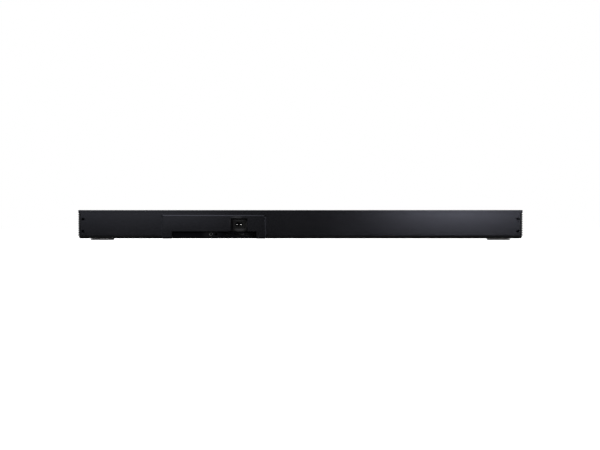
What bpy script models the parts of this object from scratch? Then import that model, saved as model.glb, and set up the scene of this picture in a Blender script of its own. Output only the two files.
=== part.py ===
"""A soundbar, built from its separate pieces.

The bar lies along X, its front faces -Y, its rear panel with the sockets faces +Y, and +Z is up.
The origin is on the table, under the middle of the bar. Sizes are in millimetres, and add_node
turns them into Blender's metres. Left and right are those of the bar's own X axis.
"""

import math

import bmesh
import bpy
from mathutils import Matrix, Vector

MM = 0.001
GAP = 0.3  # left between pieces that rest on each other or seat in each other

# ---------------------------------------------------------------------------
# Driving sizes
# ---------------------------------------------------------------------------
BAR_LENGTH = 950.0  # over the tips of the end ribs
BAR_DEPTH = 120.0  # front rib tips to the face of the connector cover
BAR_HEIGHT = 64.0  # table to top
CORNER_RADIUS = 16.0  # front corners, seen from above, at the rib tips
CORNER_STEPS = 4

FOOT_HEIGHT = 3.0  # clear space under the tray
TRAY_HEIGHT = 6.2
TRAY_FLOOR = 3.2
TRAY_SIDE_INSET = 0.6  # the tray's side lies this far inside the rib tips
TRAY_SLOPE = 2.2  # how far the tray's edge slopes in towards its underside
TRAY_EDGE = 0.6  # upright strip above that slope
TRAY_RIM = 3.4  # thickness of the rim

LID_THICKNESS = 3.4
LID_SKIN = 2.4
LID_RIM = 9.0
LID_CHAMFER = 0.8

RIB_HEIGHT = 2.6
RIB_PITCH = 4.8  # the nearest pitch that fills the wall is used
GRILLE_DEPTH = 4.4  # rib tip to the inside of the grille
RIB_ROOT = 0.4  # how far the ribs stop short of the grille's inside
WEB_DEPTH = 2.0  # upright webs that carry the ribs
WEB_WIDTH = 4.0
END_WEB_DEPTH = 3.2  # the webs in the ends come closer to the rib tips
FRONT_WEB_SPACING = 132.0
END_WEB_SPACING = 60.0
POST_WIDTH = 12.0  # the post in each end grille that the rear cover is screwed to
POST_DEPTH = 8.3
CLOTH_THICKNESS = 0.6

BAFFLE_SETBACK = 15.0  # rib tips to the face of the baffle
BAFFLE_THICKNESS = 4.0
BAFFLE_END = 19.0  # the baffle ends this far inside the rib tips

REAR_THICKNESS = 2.4
SCREW_INSET = 10.0  # rear screws to the rib tips
SCREW_FROM_TRAY = 9.1
SCREW_FROM_LID = 16.1
SCREW_SHANK_RADIUS = 1.3
SCREW_SHANK_LENGTH = 7.5
SCREW_HEAD_RADIUS = 2.8
SCREW_HEAD_HEIGHT = 1.2
SCREW_SLOT = 0.6
SCREW_POCKET_RADIUS = 3.4
SCREW_POCKET_DEPTH = 1.6

SKID_WIDTH = 47.0
SKID_FROM_END = 50.0  # middle of a foot to the rib tips
SKID_FRONT_INSET = 12.0
SKID_REAR_INSET = 6.0
SKID_LOW = 1.0
SKID_SLOPE = 1.2
PAD_WIDTH = 42.0
PAD_LENGTH = 14.0
PAD_RECESS = 0.8
PAD_FROM_SKID_END = 5.0

# Connector bay, cut into the rear. Places along X are measured from the bay's low-X side.
COVER_PROUD = 3.0  # how far the connector cover stands out from the rear panel
COVER_CHAMFER = 2.4
COVER_CORNER = 4.0
COVER_LOW_MARGIN = 20.8
COVER_HIGH_MARGIN = 22.4
COVER_BOTTOM = 2.6
COVER_TO_WALL_TOP = 6.8
BAY_WIDTH = 181.0
BAY_HEIGHT = 12.0
BAY_DEPTH = 30.5
BAY_TO_CHAMBER = 28.0
PAN_WALL = 2.0
POCKET_PLACE = 37.2  # middle of the mains inlet's pocket
POCKET_WIDTH = 36.0
POCKET_DEPTH = 13.0
POCKET_TO_WALL_TOP = 13.6
POCKET_ABOVE_INLET = 13.5
INLET_FLANGE = (27.0, 17.0, 1.5)
INLET_BODY = (20.0, 12.6)
INLET_BODY_DEPTH = 17.5
INLET_CAVITY_WIDTH = 15.2
INLET_CAVITY_RADIUS = 4.5
INLET_CAVITY_DEPTH = 12.8
PIN_RADIUS = 1.18
PIN_SPACING = 8.6
PIN_LENGTH = 17.5
PIN_SETBACK = 1.8  # pin tip to the face of the inlet
PLATE_THICKNESS = 1.2
SOCKET_PROUD = 1.5  # sockets stand out of the jack plate

BOARD_LIFT = 0.9
BOARD_THICKNESS = 1.2
BOARD_SETBACK = 12.0  # baffle to the front edge of the boards
MAIN_BOARD_MARGIN = 6.0
POWER_BOARD_LENGTH = 190.0
POWER_BOARD_TO_REAR = 15.6
POWER_BOARD_TO_CHAMBER = 33.0
BOSS_RADIUS = 3.0
BOSS_INSET = 8.0

# Sockets: place in the bay, width, height and depth of the body.
DISPLAY_SOCKET_PLACES = {"display_input_socket": 40.0, "display_output_socket": 61.2}
DISPLAY_SOCKET_SIZE = (15.0, 5.6, 12.0)
SERVICE_SOCKET_PLACE = 19.3
SERVICE_SOCKET_SIZE = (13.2, 6.2, 14.0)
OPTICAL_PLACE = 5.9
OPTICAL_SIZE = (9.8, 9.2, 13.0)
AUDIO_PLACE = 92.4
AUDIO_SIZE = (19.0, 7.2, 12.0)
AUDIO_JACK_SPACING = 10.7
AUDIO_BARREL_RADIUS = 2.9
AUDIO_HOLE_RADIUS = 1.8
SHELL_WALL = 0.5
OPTICAL_WALL = 1.0
SHUTTER_THICKNESS = 0.8

# Speakers
CHAMBER_FROM_END = 19.0  # outer wall of the speaker box to the rib tips
CHAMBER_MARGIN = 7.0  # driver's flange to the outside of the box's inner wall
CHAMBER_WALL = 2.2
DRIVER_LENGTH = 100.0
DRIVER_TO_PORT = 10.0  # between their flanges
DRIVER_TO_WALL = 2.4  # edge of the driver's flange to the top and bottom of the wall
DRIVER_RIM = 5.0  # width of that flange
FLANGE_THICKNESS = 2.0
BASKET_WALL = 1.6
BASKET_DEPTH = 17.0
DRIVER_PLATE_SHARE = 0.62  # length of the basket's back plate over that of its mouth
SURROUND_WIDTH = 5.5
SURROUND_ROLL = 2.9
SURROUND_SKIN = 0.8
CONE_DEPTH = 9.0
CONE_SKIN = 0.9
COIL_SHARE = 0.72  # coil diameter over the cone's height
COIL_SKIN = 0.7
COIL_LENGTH = 13.5
MAGNET_TO_WALL = 4.4
TAG_ROOM = 6.5  # back plate left clear beside the magnet for the lead's tag
MAGNET_DEPTH = 15.0
MAGNET_CLEARANCE = 0.6
MAGNET_SLOT_DEPTH = 10.5
TWEETER_TO_DRIVER = 20.0  # between their flanges
TWEETER_TO_WALL = 5.4
TWEETER_RIM = 4.0
TWEETER_BODY_DEPTH = 18.0
DOME_TO_BODY = 3.5
DOME_RISE = 3.0
DOME_SKIN = 0.8
DOME_CLEARANCE = 0.7
PORT_FROM_END = 41.0
PORT_BORE_RADIUS = 10.0
PORT_WALL = 1.5
PORT_FLANGE_RADIUS = 14.0
PORT_LENGTH = 70.0
ROUND_STEPS = 16

# Keys in the lid
KEY_NAMES = ("power", "source", "volume_down", "volume_up")
KEY_PITCH = 24.0
KEY_WIDTH = 16.0
KEY_LENGTH = 8.0
KEY_CORNER = 2.5
KEY_ROW_SETBACK = 34.0  # front rib tips to the middle of the keys
KEY_TRAVEL = 0.5
KEY_FLUSH = 0.1  # the key tops lie this far below the lid's face
KEY_LIP = 1.2
KEY_LIP_HEIGHT = 0.8
KEY_POST_RADIUS = 1.6
KEY_POST_LENGTH = 2.0
KEY_BOARD_MARGIN = 9.0
KEY_BOARD_DEPTH = 18.0
DOME_SWITCH_RADIUS = 2.4
DOME_SWITCH_HEIGHT = 0.4

LENS_LENGTH = 60.0
LENS_HEIGHT = 8.0
LEAD_RADIUS = 1.2
MAINS_LEAD_RADIUS = 1.8
LEAD_SIDES = 2  # bevel resolution: 8 sides

# ---------------------------------------------------------------------------
# Places worked out from those sizes
# ---------------------------------------------------------------------------
HALF = BAR_LENGTH / 2
FRONT = -BAR_DEPTH / 2
REAR = BAR_DEPTH / 2 - COVER_PROUD
TRAY_TOP = FOOT_HEIGHT + TRAY_HEIGHT
FLOOR = FOOT_HEIGHT + TRAY_FLOOR
LID_UNDER = BAR_HEIGHT - LID_THICKNESS
LID_SKIN_UNDER = BAR_HEIGHT - LID_SKIN
WALL_LOW = TRAY_TOP + GAP
WALL_HIGH = LID_UNDER - GAP
WALL_MIDDLE = (WALL_LOW + WALL_HIGH) / 2
WALL_HEIGHT = WALL_HIGH - WALL_LOW
BAFFLE_FACE = FRONT + BAFFLE_SETBACK
BAFFLE_BACK = BAFFLE_FACE + BAFFLE_THICKNESS
REAR_INSIDE = REAR - REAR_THICKNESS
DRIVER_FROM_END = PORT_FROM_END + PORT_FLANGE_RADIUS + DRIVER_TO_PORT + DRIVER_LENGTH / 2
CHAMBER_OUTER = HALF - CHAMBER_FROM_END
CHAMBER_INNER = HALF - DRIVER_FROM_END - DRIVER_LENGTH / 2 - CHAMBER_MARGIN
BAY_HIGH = CHAMBER_INNER - BAY_TO_CHAMBER
BAY_LOW = BAY_HIGH - BAY_WIDTH
BAY_TOP = FLOOR + BAY_HEIGHT
BAY_BACK = REAR - BAY_DEPTH
PLATE_FACE = BAY_BACK - GAP
PLATE_BACK = PLATE_FACE - PLATE_THICKNESS
POCKET_X = BAY_LOW + POCKET_PLACE
POCKET_BACK = REAR - POCKET_DEPTH
POCKET_TOP = WALL_HIGH - POCKET_TO_WALL_TOP
INLET_Z = POCKET_TOP - POCKET_ABOVE_INLET
BOARD_LOW = FLOOR + BOARD_LIFT
BOARD_TOP = BOARD_LOW + BOARD_THICKNESS
BOARD_FRONT = BAFFLE_BACK + BOARD_SETBACK
KEY_ROW_Y = FRONT + KEY_ROW_SETBACK
LEAD_Y = BAFFLE_BACK + BOARD_SETBACK / 2
LEAD_Z = FLOOR + LEAD_RADIUS + 3.0
DRIVER_FLANGE = (DRIVER_LENGTH, WALL_HEIGHT - 2 * DRIVER_TO_WALL)
DRIVER_MOUTH = (DRIVER_LENGTH - 2 * DRIVER_RIM, DRIVER_FLANGE[1] - 2 * DRIVER_RIM)
CONE_SIZE = (DRIVER_MOUTH[0] - 2 * SURROUND_WIDTH, DRIVER_MOUTH[1] - 2 * SURROUND_WIDTH)
COIL_RADIUS = CONE_SIZE[1] * COIL_SHARE / 2
PLATE_LENGTH = DRIVER_MOUTH[0] * DRIVER_PLATE_SHARE
MAGNET_RADIUS = min(WALL_HEIGHT / 2 - MAGNET_TO_WALL, PLATE_LENGTH / 2 - TAG_ROOM)
TWEETER_FLANGE_RADIUS = WALL_HEIGHT / 2 - TWEETER_TO_WALL
TWEETER_BODY_RADIUS = TWEETER_FLANGE_RADIUS - TWEETER_RIM
TWEETER_FROM_END = (
    DRIVER_FROM_END + DRIVER_LENGTH / 2 + TWEETER_TO_DRIVER + TWEETER_FLANGE_RADIUS
)
DOME_RADIUS = TWEETER_BODY_RADIUS - DOME_TO_BODY

# ---------------------------------------------------------------------------
# Finishes
# ---------------------------------------------------------------------------
FINISHES = {
    "shell_plastic": ((0.016, 0.016, 0.019), 0.42, 0.0),
    "tray_plastic": ((0.010, 0.010, 0.011), 0.60, 0.0),
    "grille_plastic": ((0.012, 0.012, 0.013), 0.50, 0.0),
    "speaker_cloth": ((0.008, 0.008, 0.009), 0.95, 0.0),
    "inner_plastic": ((0.020, 0.020, 0.021), 0.55, 0.0),
    "rubber": ((0.008, 0.008, 0.008), 0.85, 0.0),
    "black_steel": ((0.030, 0.030, 0.032), 0.40, 0.9),
    "bright_metal": ((0.62, 0.62, 0.60), 0.25, 1.0),
    "magnet_steel": ((0.25, 0.25, 0.26), 0.35, 1.0),
    "fin_aluminium": ((0.45, 0.45, 0.46), 0.40, 1.0),
    "cone_pulp": ((0.030, 0.029, 0.028), 0.90, 0.0),
    "board_green": ((0.020, 0.110, 0.045), 0.45, 0.0),
    "winding_tape": ((0.55, 0.38, 0.06), 0.50, 0.0),
    "clear_plastic": ((0.70, 0.72, 0.74), 0.15, 0.0),
    "cable_jacket": ((0.020, 0.020, 0.020), 0.55, 0.0),
}


def finish(name):
    """The Principled material of that name, made the first time it is asked for."""
    material = bpy.data.materials.get(name)
    if material:
        return material
    color, roughness, metallic = FINISHES[name]
    material = bpy.data.materials.new(name)
    material.use_nodes = True
    shader = material.node_tree.nodes["Principled BSDF"]
    shader.inputs["Base Color"].default_value = (*color, 1.0)
    shader.inputs["Roughness"].default_value = roughness
    shader.inputs["Metallic"].default_value = metallic
    return material


# ---------------------------------------------------------------------------
# Shapes. Each returns a bmesh in millimetres.
# ---------------------------------------------------------------------------
def box(x0, x1, y0, y1, z0, z1):
    shape = bmesh.new()
    middle = Matrix.Translation(((x0 + x1) / 2, (y0 + y1) / 2, (z0 + z1) / 2))
    size = Matrix.Diagonal((x1 - x0, y1 - y0, z1 - z0, 1.0))
    bmesh.ops.create_cube(shape, size=1.0, matrix=middle @ size)
    return shape


def extruded(outline, rise):
    """A flat outline drawn out along a vector."""
    shape = bmesh.new()
    face = shape.faces.new([shape.verts.new(point) for point in outline])
    made = bmesh.ops.extrude_face_region(shape, geom=[face])["geom"]
    top = [item for item in made if isinstance(item, bmesh.types.BMVert)]
    bmesh.ops.translate(shape, verts=top, vec=rise)
    return shape


def extruded_up(outline, z0, z1):
    return extruded([(x, y, z0) for x, y in outline], (0, 0, z1 - z0))


def extruded_back(outline, y0, y1):
    return extruded([(x, y0, z) for x, z in outline], (0, y1 - y0, 0))


def lofted(rings, closed=False):
    """Rings of equally many points, skinned in turn. The ends are capped, unless the rings close up."""
    shape = bmesh.new()
    loops = [[shape.verts.new(point) for point in ring] for ring in rings]
    if not closed:
        shape.faces.new(loops[0])
        shape.faces.new(loops[-1])
    pairs = zip(loops, loops[1:] + loops[:1]) if closed else zip(loops, loops[1:])
    for low, high in pairs:
        for k in range(len(low)):
            shape.faces.new((low[k - 1], low[k], high[k], high[k - 1]))
    return shape


def turned(x, z, profile, closed=False, steps=None):
    """A profile of (radius, y) spun about a line along Y. An open one runs from the line back to it."""
    shape = bmesh.new()
    line = [(x + radius, y, z) for radius, y in profile]
    if not closed:
        line = [(x, profile[0][1], z)] + line + [(x, profile[-1][1], z)]
    verts = [shape.verts.new(point) for point in line]
    edges = [shape.edges.new(pair) for pair in zip(verts, verts[1:])]
    if closed:
        edges.append(shape.edges.new((verts[-1], verts[0])))
    bmesh.ops.spin(
        shape,
        geom=verts + edges,
        cent=(x, 0, z),
        axis=(0, 1, 0),
        angle=2 * math.pi,
        steps=steps or ROUND_STEPS,
    )
    bmesh.ops.remove_doubles(shape, verts=shape.verts, dist=0.001)
    return shape


def upright(x, y, radius, z0, z1, steps=12):
    """A round post along Z."""
    shape = bmesh.new()
    bmesh.ops.create_cone(
        shape,
        cap_ends=True,
        segments=steps,
        radius1=radius,
        radius2=radius,
        depth=z1 - z0,
        matrix=Matrix.Translation((x, y, (z0 + z1) / 2)),
    )
    return shape


def several(*shapes):
    """Shapes side by side in one mesh."""
    whole = shapes[0]
    for shape in shapes[1:]:
        mesh = bpy.data.meshes.new("part")
        shape.to_mesh(mesh)
        shape.free()
        whole.from_mesh(mesh)
        bpy.data.meshes.remove(mesh)
    return whole


def oval_ring(x, z, length, height, y):
    """A ring around the Y direction: a circle, or two half circles joined by straight runs."""
    radius = height / 2
    run = (length - height) / 2
    ring = []
    for k in range(ROUND_STEPS):
        angle = (k + 0.5) * 2 * math.pi / ROUND_STEPS
        side = math.copysign(run, math.cos(angle))
        ring.append((x + side + radius * math.cos(angle), y, z + radius * math.sin(angle)))
    return ring


def oval(x, z, length, height, y0, y1):
    return lofted([oval_ring(x, z, length, height, y) for y in (y0, y1)])


def rounded_outline(u0, u1, v0, v1, radius, steps=3):
    """A rectangle with round corners, as points (u, v)."""
    corners = (
        (u1 - radius, v1 - radius, 0),
        (u0 + radius, v1 - radius, 90),
        (u0 + radius, v0 + radius, 180),
        (u1 - radius, v0 + radius, 270),
    )
    outline = []
    for u, v, start in corners:
        for k in range(steps + 1):
            angle = math.radians(start + 90 * k / steps)
            outline.append((u + radius * math.cos(angle), v + radius * math.sin(angle)))
    return outline


def front_corner(inset, side, start=0.0, end=90.0):
    """The bar's round front corner seen from above, from the front (0) to the end (90)."""
    radius = CORNER_RADIUS - inset
    corner = []
    for k in range(CORNER_STEPS + 1):
        angle = math.radians(start + (end - start) * k / CORNER_STEPS)
        x = HALF - CORNER_RADIUS + radius * math.sin(angle)
        y = FRONT + CORNER_RADIUS - radius * math.cos(angle)
        corner.append((side * x, y))
    return corner


def plan(inset, rear):
    """The bar's outline seen from above, drawn in from the rib tips, with its straight rear at that y."""
    right = front_corner(inset, 1)
    left = front_corner(inset, -1)
    end = HALF - inset
    return right + [(end, rear), (-end, rear)] + left[::-1]


def plan_ring(inset, rear, z):
    return [(x, y, z) for x, y in plan(inset, rear)]


# ---------------------------------------------------------------------------
# Objects
# ---------------------------------------------------------------------------
def mesh_object(name, shape, origin=None):
    """An object of that shape, with its origin there, or in the middle of its box."""
    if origin is None:
        low = [min(vert.co[axis] for vert in shape.verts) for axis in range(3)]
        high = [max(vert.co[axis] for vert in shape.verts) for axis in range(3)]
        origin = [(a + b) / 2 for a, b in zip(low, high)]
    bmesh.ops.translate(shape, verts=shape.verts, vec=-Vector(origin))
    bmesh.ops.scale(shape, verts=shape.verts, vec=(MM, MM, MM))
    bmesh.ops.recalc_face_normals(shape, faces=shape.faces)
    mesh = bpy.data.meshes.new(name)
    shape.to_mesh(mesh)
    shape.free()
    obj = bpy.data.objects.new(name, mesh)
    obj.location = Vector(origin) * MM
    bpy.context.scene.collection.objects.link(obj)
    return obj


def add_node(name, shape, material, origin=None, smooth=False):
    """A piece of the bar. A moving piece has its origin on its joint's axis."""
    obj = mesh_object(name, shape, origin)
    obj.data.materials.append(finish(material))
    if smooth:
        obj.data.shade_smooth()
        obj.data.set_sharp_from_angle(angle=math.radians(35))
    return obj


def combine(obj, operation, shape):
    """Joins a shape to a piece, or cuts it away."""
    tool = mesh_object(f"{obj.name}.tool{len(obj.modifiers)}", shape)
    tool.hide_render = True
    tool.display_type = "WIRE"
    modifier = obj.modifiers.new("shape", "BOOLEAN")
    modifier.operation = operation
    modifier.solver = "EXACT"
    modifier.object = tool


def join(obj, shape):
    combine(obj, "UNION", shape)


def cut(obj, shape):
    combine(obj, "DIFFERENCE", shape)


# ---------------------------------------------------------------------------
# Casing
# ---------------------------------------------------------------------------
def build_tray():
    """The bottom tray: a sloped rim, a bay cut through its rear rim, and bosses under the boards."""
    under = TRAY_SIDE_INSET + TRAY_SLOPE
    tray = add_node(
        "bottom_tray",
        lofted(
            [
                plan_ring(under, REAR - TRAY_SLOPE, FOOT_HEIGHT),
                plan_ring(TRAY_SIDE_INSET, REAR, TRAY_TOP - TRAY_EDGE),
                plan_ring(TRAY_SIDE_INSET, REAR, TRAY_TOP),
            ]
        ),
        "tray_plastic",
    )
    inside = TRAY_SIDE_INSET + TRAY_RIM
    cut(tray, extruded_up(plan(inside, REAR - TRAY_RIM - 2 * GAP), FLOOR, TRAY_TOP + 2))
    notch = PAN_WALL + GAP
    cut(
        tray,
        box(BAY_LOW - notch, BAY_HIGH + notch, REAR - 2 * TRAY_RIM, REAR + 5, FLOOR, TRAY_TOP + 2),
    )
    bosses = []
    for x0, x1, y0, y1 in (main_board_area(), power_board_area()):
        for x in (x0 + BOSS_INSET, x1 - BOSS_INSET):
            for y in (y0 + BOSS_INSET, y1 - BOSS_INSET):
                bosses.append(upright(x, y, BOSS_RADIUS, FLOOR - 1, BOARD_LOW - GAP))
    join(tray, several(*bosses))


def build_lid():
    """The top panel: a thin skin with a deeper rim, holes for the keys, and bosses for their board."""
    lid = add_node(
        "top_panel",
        lofted(
            [
                plan_ring(0, REAR, LID_UNDER),
                plan_ring(0, REAR, BAR_HEIGHT - LID_CHAMFER),
                plan_ring(LID_CHAMFER, REAR - LID_CHAMFER, BAR_HEIGHT),
            ]
        ),
        "shell_plastic",
    )
    cut(lid, extruded_up(plan(LID_RIM, REAR - LID_RIM), LID_UNDER - 2, LID_SKIN_UNDER))
    for x in key_places().values():
        hole = rounded_outline(
            x - KEY_WIDTH / 2 - GAP,
            x + KEY_WIDTH / 2 + GAP,
            KEY_ROW_Y - KEY_LENGTH / 2 - GAP,
            KEY_ROW_Y + KEY_LENGTH / 2 + GAP,
            KEY_CORNER + GAP,
        )
        cut(lid, extruded_up(hole, LID_UNDER - 2, BAR_HEIGHT + 2))
    board_x = key_board_half_length() - BOSS_RADIUS
    for x in (-board_x, board_x):
        join(lid, upright(x, KEY_ROW_Y, BOSS_RADIUS, key_board_top() + GAP, LID_SKIN_UNDER + 1))


def screw_places():
    low = WALL_LOW + SCREW_FROM_TRAY
    high = WALL_HIGH - SCREW_FROM_LID
    end = HALF - SCREW_INSET
    return {
        "rear_screw_left_low": (-end, low),
        "rear_screw_left_high": (-end, high),
        "rear_screw_right_low": (end, low),
        "rear_screw_right_high": (end, high),
    }


def build_rear_cover():
    """The flat rear panel, open where the recess pan passes through it, with pockets for its screws."""
    end = HALF - GRILLE_DEPTH - GAP
    panel = add_node(
        "rear_cover", box(-end, end, REAR_INSIDE, REAR, WALL_LOW, WALL_HIGH), "shell_plastic"
    )
    around = PAN_WALL + GAP
    cut(
        panel,
        box(
            BAY_LOW - around,
            BAY_HIGH + around,
            REAR_INSIDE - 5,
            REAR + 5,
            FOOT_HEIGHT,
            BAY_TOP + around,
        ),
    )
    pocket = POCKET_WIDTH / 2 + around
    cut(
        panel,
        box(
            POCKET_X - pocket,
            POCKET_X + pocket,
            REAR_INSIDE - 5,
            REAR + 5,
            BAY_TOP - 1,
            POCKET_TOP + around,
        ),
    )
    for x, z in screw_places().values():
        profile = (
            (SCREW_SHANK_RADIUS + 2 * GAP, REAR_INSIDE - 2),
            (SCREW_SHANK_RADIUS + 2 * GAP, REAR - SCREW_POCKET_DEPTH),
            (SCREW_POCKET_RADIUS, REAR - SCREW_POCKET_DEPTH),
            (SCREW_POCKET_RADIUS, REAR + 2),
        )
        cut(panel, turned(x, z, profile, steps=12))


def build_rear_screws():
    """Pan-head screws with a cross slot."""
    seat = REAR - SCREW_POCKET_DEPTH + GAP
    face = seat + SCREW_HEAD_HEIGHT
    for name, (x, z) in screw_places().items():
        profile = (
            (SCREW_SHANK_RADIUS * 0.4, seat - SCREW_SHANK_LENGTH),
            (SCREW_SHANK_RADIUS, seat - SCREW_SHANK_LENGTH + 1),
            (SCREW_SHANK_RADIUS, seat),
            (SCREW_HEAD_RADIUS, seat),
            (SCREW_HEAD_RADIUS, face - 0.5),
            (SCREW_HEAD_RADIUS - 0.6, face),
        )
        screw = add_node(name, turned(x, z, profile, steps=12), "black_steel", smooth=True)
        arm = SCREW_HEAD_RADIUS * 0.55
        half = SCREW_SLOT / 2
        cut(screw, box(x - arm, x + arm, face - 0.7, face + 1, z - half, z + half))
        cut(screw, box(x - half, x + half, face - 0.7, face + 1, z - arm, z + arm))


def rib_levels():
    """(bottom, top) of each rib, spread evenly over the wall."""
    room = WALL_HIGH - WALL_LOW - RIB_HEIGHT
    spaces = round(room / RIB_PITCH)
    return [
        (WALL_LOW + i * room / spaces, WALL_LOW + i * room / spaces + RIB_HEIGHT)
        for i in range(spaces + 1)
    ]


def spread(low, high, spacing):
    """Places from low to high, no further apart than the spacing."""
    spaces = math.ceil((high - low) / spacing)
    return [low + i * (high - low) / spaces for i in range(spaces + 1)]


def build_front_grille():
    """Level ribs on upright webs, with open slots between them."""
    end = HALF - CORNER_RADIUS - GAP
    back = FRONT + GRILLE_DEPTH
    ribs = [box(-end, end, FRONT, back - RIB_ROOT, z0, z1) for z0, z1 in rib_levels()]
    grille = add_node("front_grille", several(*ribs), "grille_plastic")
    centre = end - WEB_WIDTH / 2 - 0.5
    low = WALL_LOW + RIB_HEIGHT / 2
    high = WALL_HIGH - RIB_HEIGHT / 2
    webs = [
        box(x - WEB_WIDTH / 2, x + WEB_WIDTH / 2, back - WEB_DEPTH, back, low, high)
        for x in spread(-centre, centre, FRONT_WEB_SPACING)
    ]
    join(grille, several(*webs))


def end_strip(inset_out, inset_in, side, rear):
    """The corner and side of one end, seen from above, between two insets from the rib tips."""
    outer = front_corner(inset_out, side) + [(side * (HALF - inset_out), rear)]
    inner = front_corner(inset_in, side) + [(side * (HALF - inset_in), rear)]
    return outer + inner[::-1]


def build_end_grille(name, side):
    """One end: ribs that turn the corner, webs, and the post for the rear screws."""
    strip = end_strip(0, GRILLE_DEPTH - RIB_ROOT, side, REAR)
    grille = add_node(
        name, several(*[extruded_up(strip, z0, z1) for z0, z1 in rib_levels()]), "grille_plastic"
    )
    low = WALL_LOW + RIB_HEIGHT / 2
    high = WALL_HIGH - RIB_HEIGHT / 2
    out = GRILLE_DEPTH - END_WEB_DEPTH
    webs = []
    for start, end in ((6, 20), (70, 84)):
        outer = front_corner(out, side, start, end)
        inner = front_corner(GRILLE_DEPTH, side, start, end)
        webs.append(extruded_up(outer + inner[::-1], low, high))
    x0, x1 = sorted((side * (HALF - GRILLE_DEPTH), side * (HALF - out)))
    rear_web = REAR - WEB_WIDTH / 2 - 0.5
    for y in spread(FRONT + CORNER_RADIUS + END_WEB_SPACING, rear_web, END_WEB_SPACING):
        webs.append(box(x0, x1, y - WEB_WIDTH / 2, y + WEB_WIDTH / 2, low, high))
    join(grille, several(*webs))
    x0, x1 = sorted((side * (HALF - GRILLE_DEPTH - POST_WIDTH), side * (HALF - GRILLE_DEPTH + 0.8)))
    post_rear = REAR_INSIDE - GAP
    join(grille, box(x0, x1, post_rear - POST_DEPTH, post_rear, WALL_LOW + 0.2, WALL_HIGH - 0.2))
    for x, z in screw_places().values():
        if x * side > 0:
            hole = SCREW_SHANK_RADIUS + GAP
            depth = post_rear - SCREW_SHANK_LENGTH
            cut(grille, turned(x, z, ((hole, depth), (hole, REAR_INSIDE + 1)), steps=12))


def build_cloth():
    """The acoustic cloth, stretched behind the grilles from one end post to the other."""
    rear = REAR_INSIDE - POST_DEPTH - 2 * GAP
    out = GRILLE_DEPTH + GAP
    inside = out + CLOTH_THICKNESS
    outer = plan(out, rear)
    inner = plan(inside, rear)
    corner = CORNER_STEPS + 1
    right_first = outer[corner : corner + 1] + outer[:corner][::-1]
    left_last = outer[corner + 2 :][::-1] + outer[corner + 1 : corner + 2]
    inner_right = inner[corner : corner + 1] + inner[:corner][::-1]
    inner_left = inner[corner + 2 :][::-1] + inner[corner + 1 : corner + 2]
    strip = right_first + left_last + (inner_right + inner_left)[::-1]
    add_node("grille_cloth", extruded_up(strip, WALL_LOW + GAP, WALL_HIGH - GAP), "speaker_cloth")


def build_feet():
    """A moulded skid under each end, with a rubber pad let into it at the front and at the rear."""
    y0 = FRONT + SKID_FRONT_INSET
    y1 = REAR - SKID_REAR_INSET
    top = FOOT_HEIGHT - GAP
    for side_name, side in (("left", -1), ("right", 1)):
        x = side * (HALF - SKID_FROM_END)
        half = SKID_WIDTH / 2
        rings = []
        for z, inset in ((SKID_LOW, SKID_SLOPE), (top - 0.5, 0.0), (top, 0.0)):
            outline = rounded_outline(x - half + inset, x + half - inset, y0 + inset, y1 - inset, 3)
            rings.append([(u, v, z) for u, v in outline])
        skid = add_node(f"skid_foot_{side_name}", lofted(rings), "tray_plastic", smooth=True)
        for end_name, y in (
            ("front", y0 + PAD_FROM_SKID_END + PAD_LENGTH / 2),
            ("rear", y1 - PAD_FROM_SKID_END - PAD_LENGTH / 2),
        ):
            u = PAD_WIDTH / 2
            v = PAD_LENGTH / 2
            seat = rounded_outline(x - u - GAP, x + u + GAP, y - v - GAP, y + v + GAP, 2.5 + GAP)
            cut(skid, extruded_up(seat, SKID_LOW - 1, SKID_LOW + PAD_RECESS))
            rings = []
            for z, inset in ((0.0, 0.5), (0.5, 0.0), (SKID_LOW + PAD_RECESS - GAP, 0.0)):
                outline = rounded_outline(x - u + inset, x + u - inset, y - v + inset, y + v - inset, 2)
                rings.append([(a, b, z) for a, b in outline])
            add_node(f"foot_pad_{end_name}_{side_name}", lofted(rings), "rubber", smooth=True)


# ---------------------------------------------------------------------------
# Connector bay
# ---------------------------------------------------------------------------
def build_connector_cover():
    """The raised cover around the bay, with sloped edges, open downwards below the sockets."""
    x0 = BAY_LOW - COVER_LOW_MARGIN
    x1 = BAY_HIGH + COVER_HIGH_MARGIN
    z0 = COVER_BOTTOM
    z1 = WALL_HIGH - COVER_TO_WALL_TOP
    base = REAR + GAP
    face = REAR + COVER_PROUD
    rings = []
    for y, inset in ((base, 0.0), (face - COVER_CHAMFER, 0.0), (face, COVER_CHAMFER)):
        outline = rounded_outline(
            x0 + inset, x1 - inset, z0 + inset, z1 - inset, COVER_CORNER - inset * 0.6
        )
        rings.append([(x, y, z) for x, z in outline])
    cover = add_node("connector_cover", lofted(rings), "shell_plastic")
    cut(cover, box(BAY_LOW, BAY_HIGH, base - 5, face + 5, z0 - 5, BAY_TOP))
    half = POCKET_WIDTH / 2
    cut(cover, box(POCKET_X - half, POCKET_X + half, base - 5, face + 5, BAY_TOP - 1, POCKET_TOP))


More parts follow.
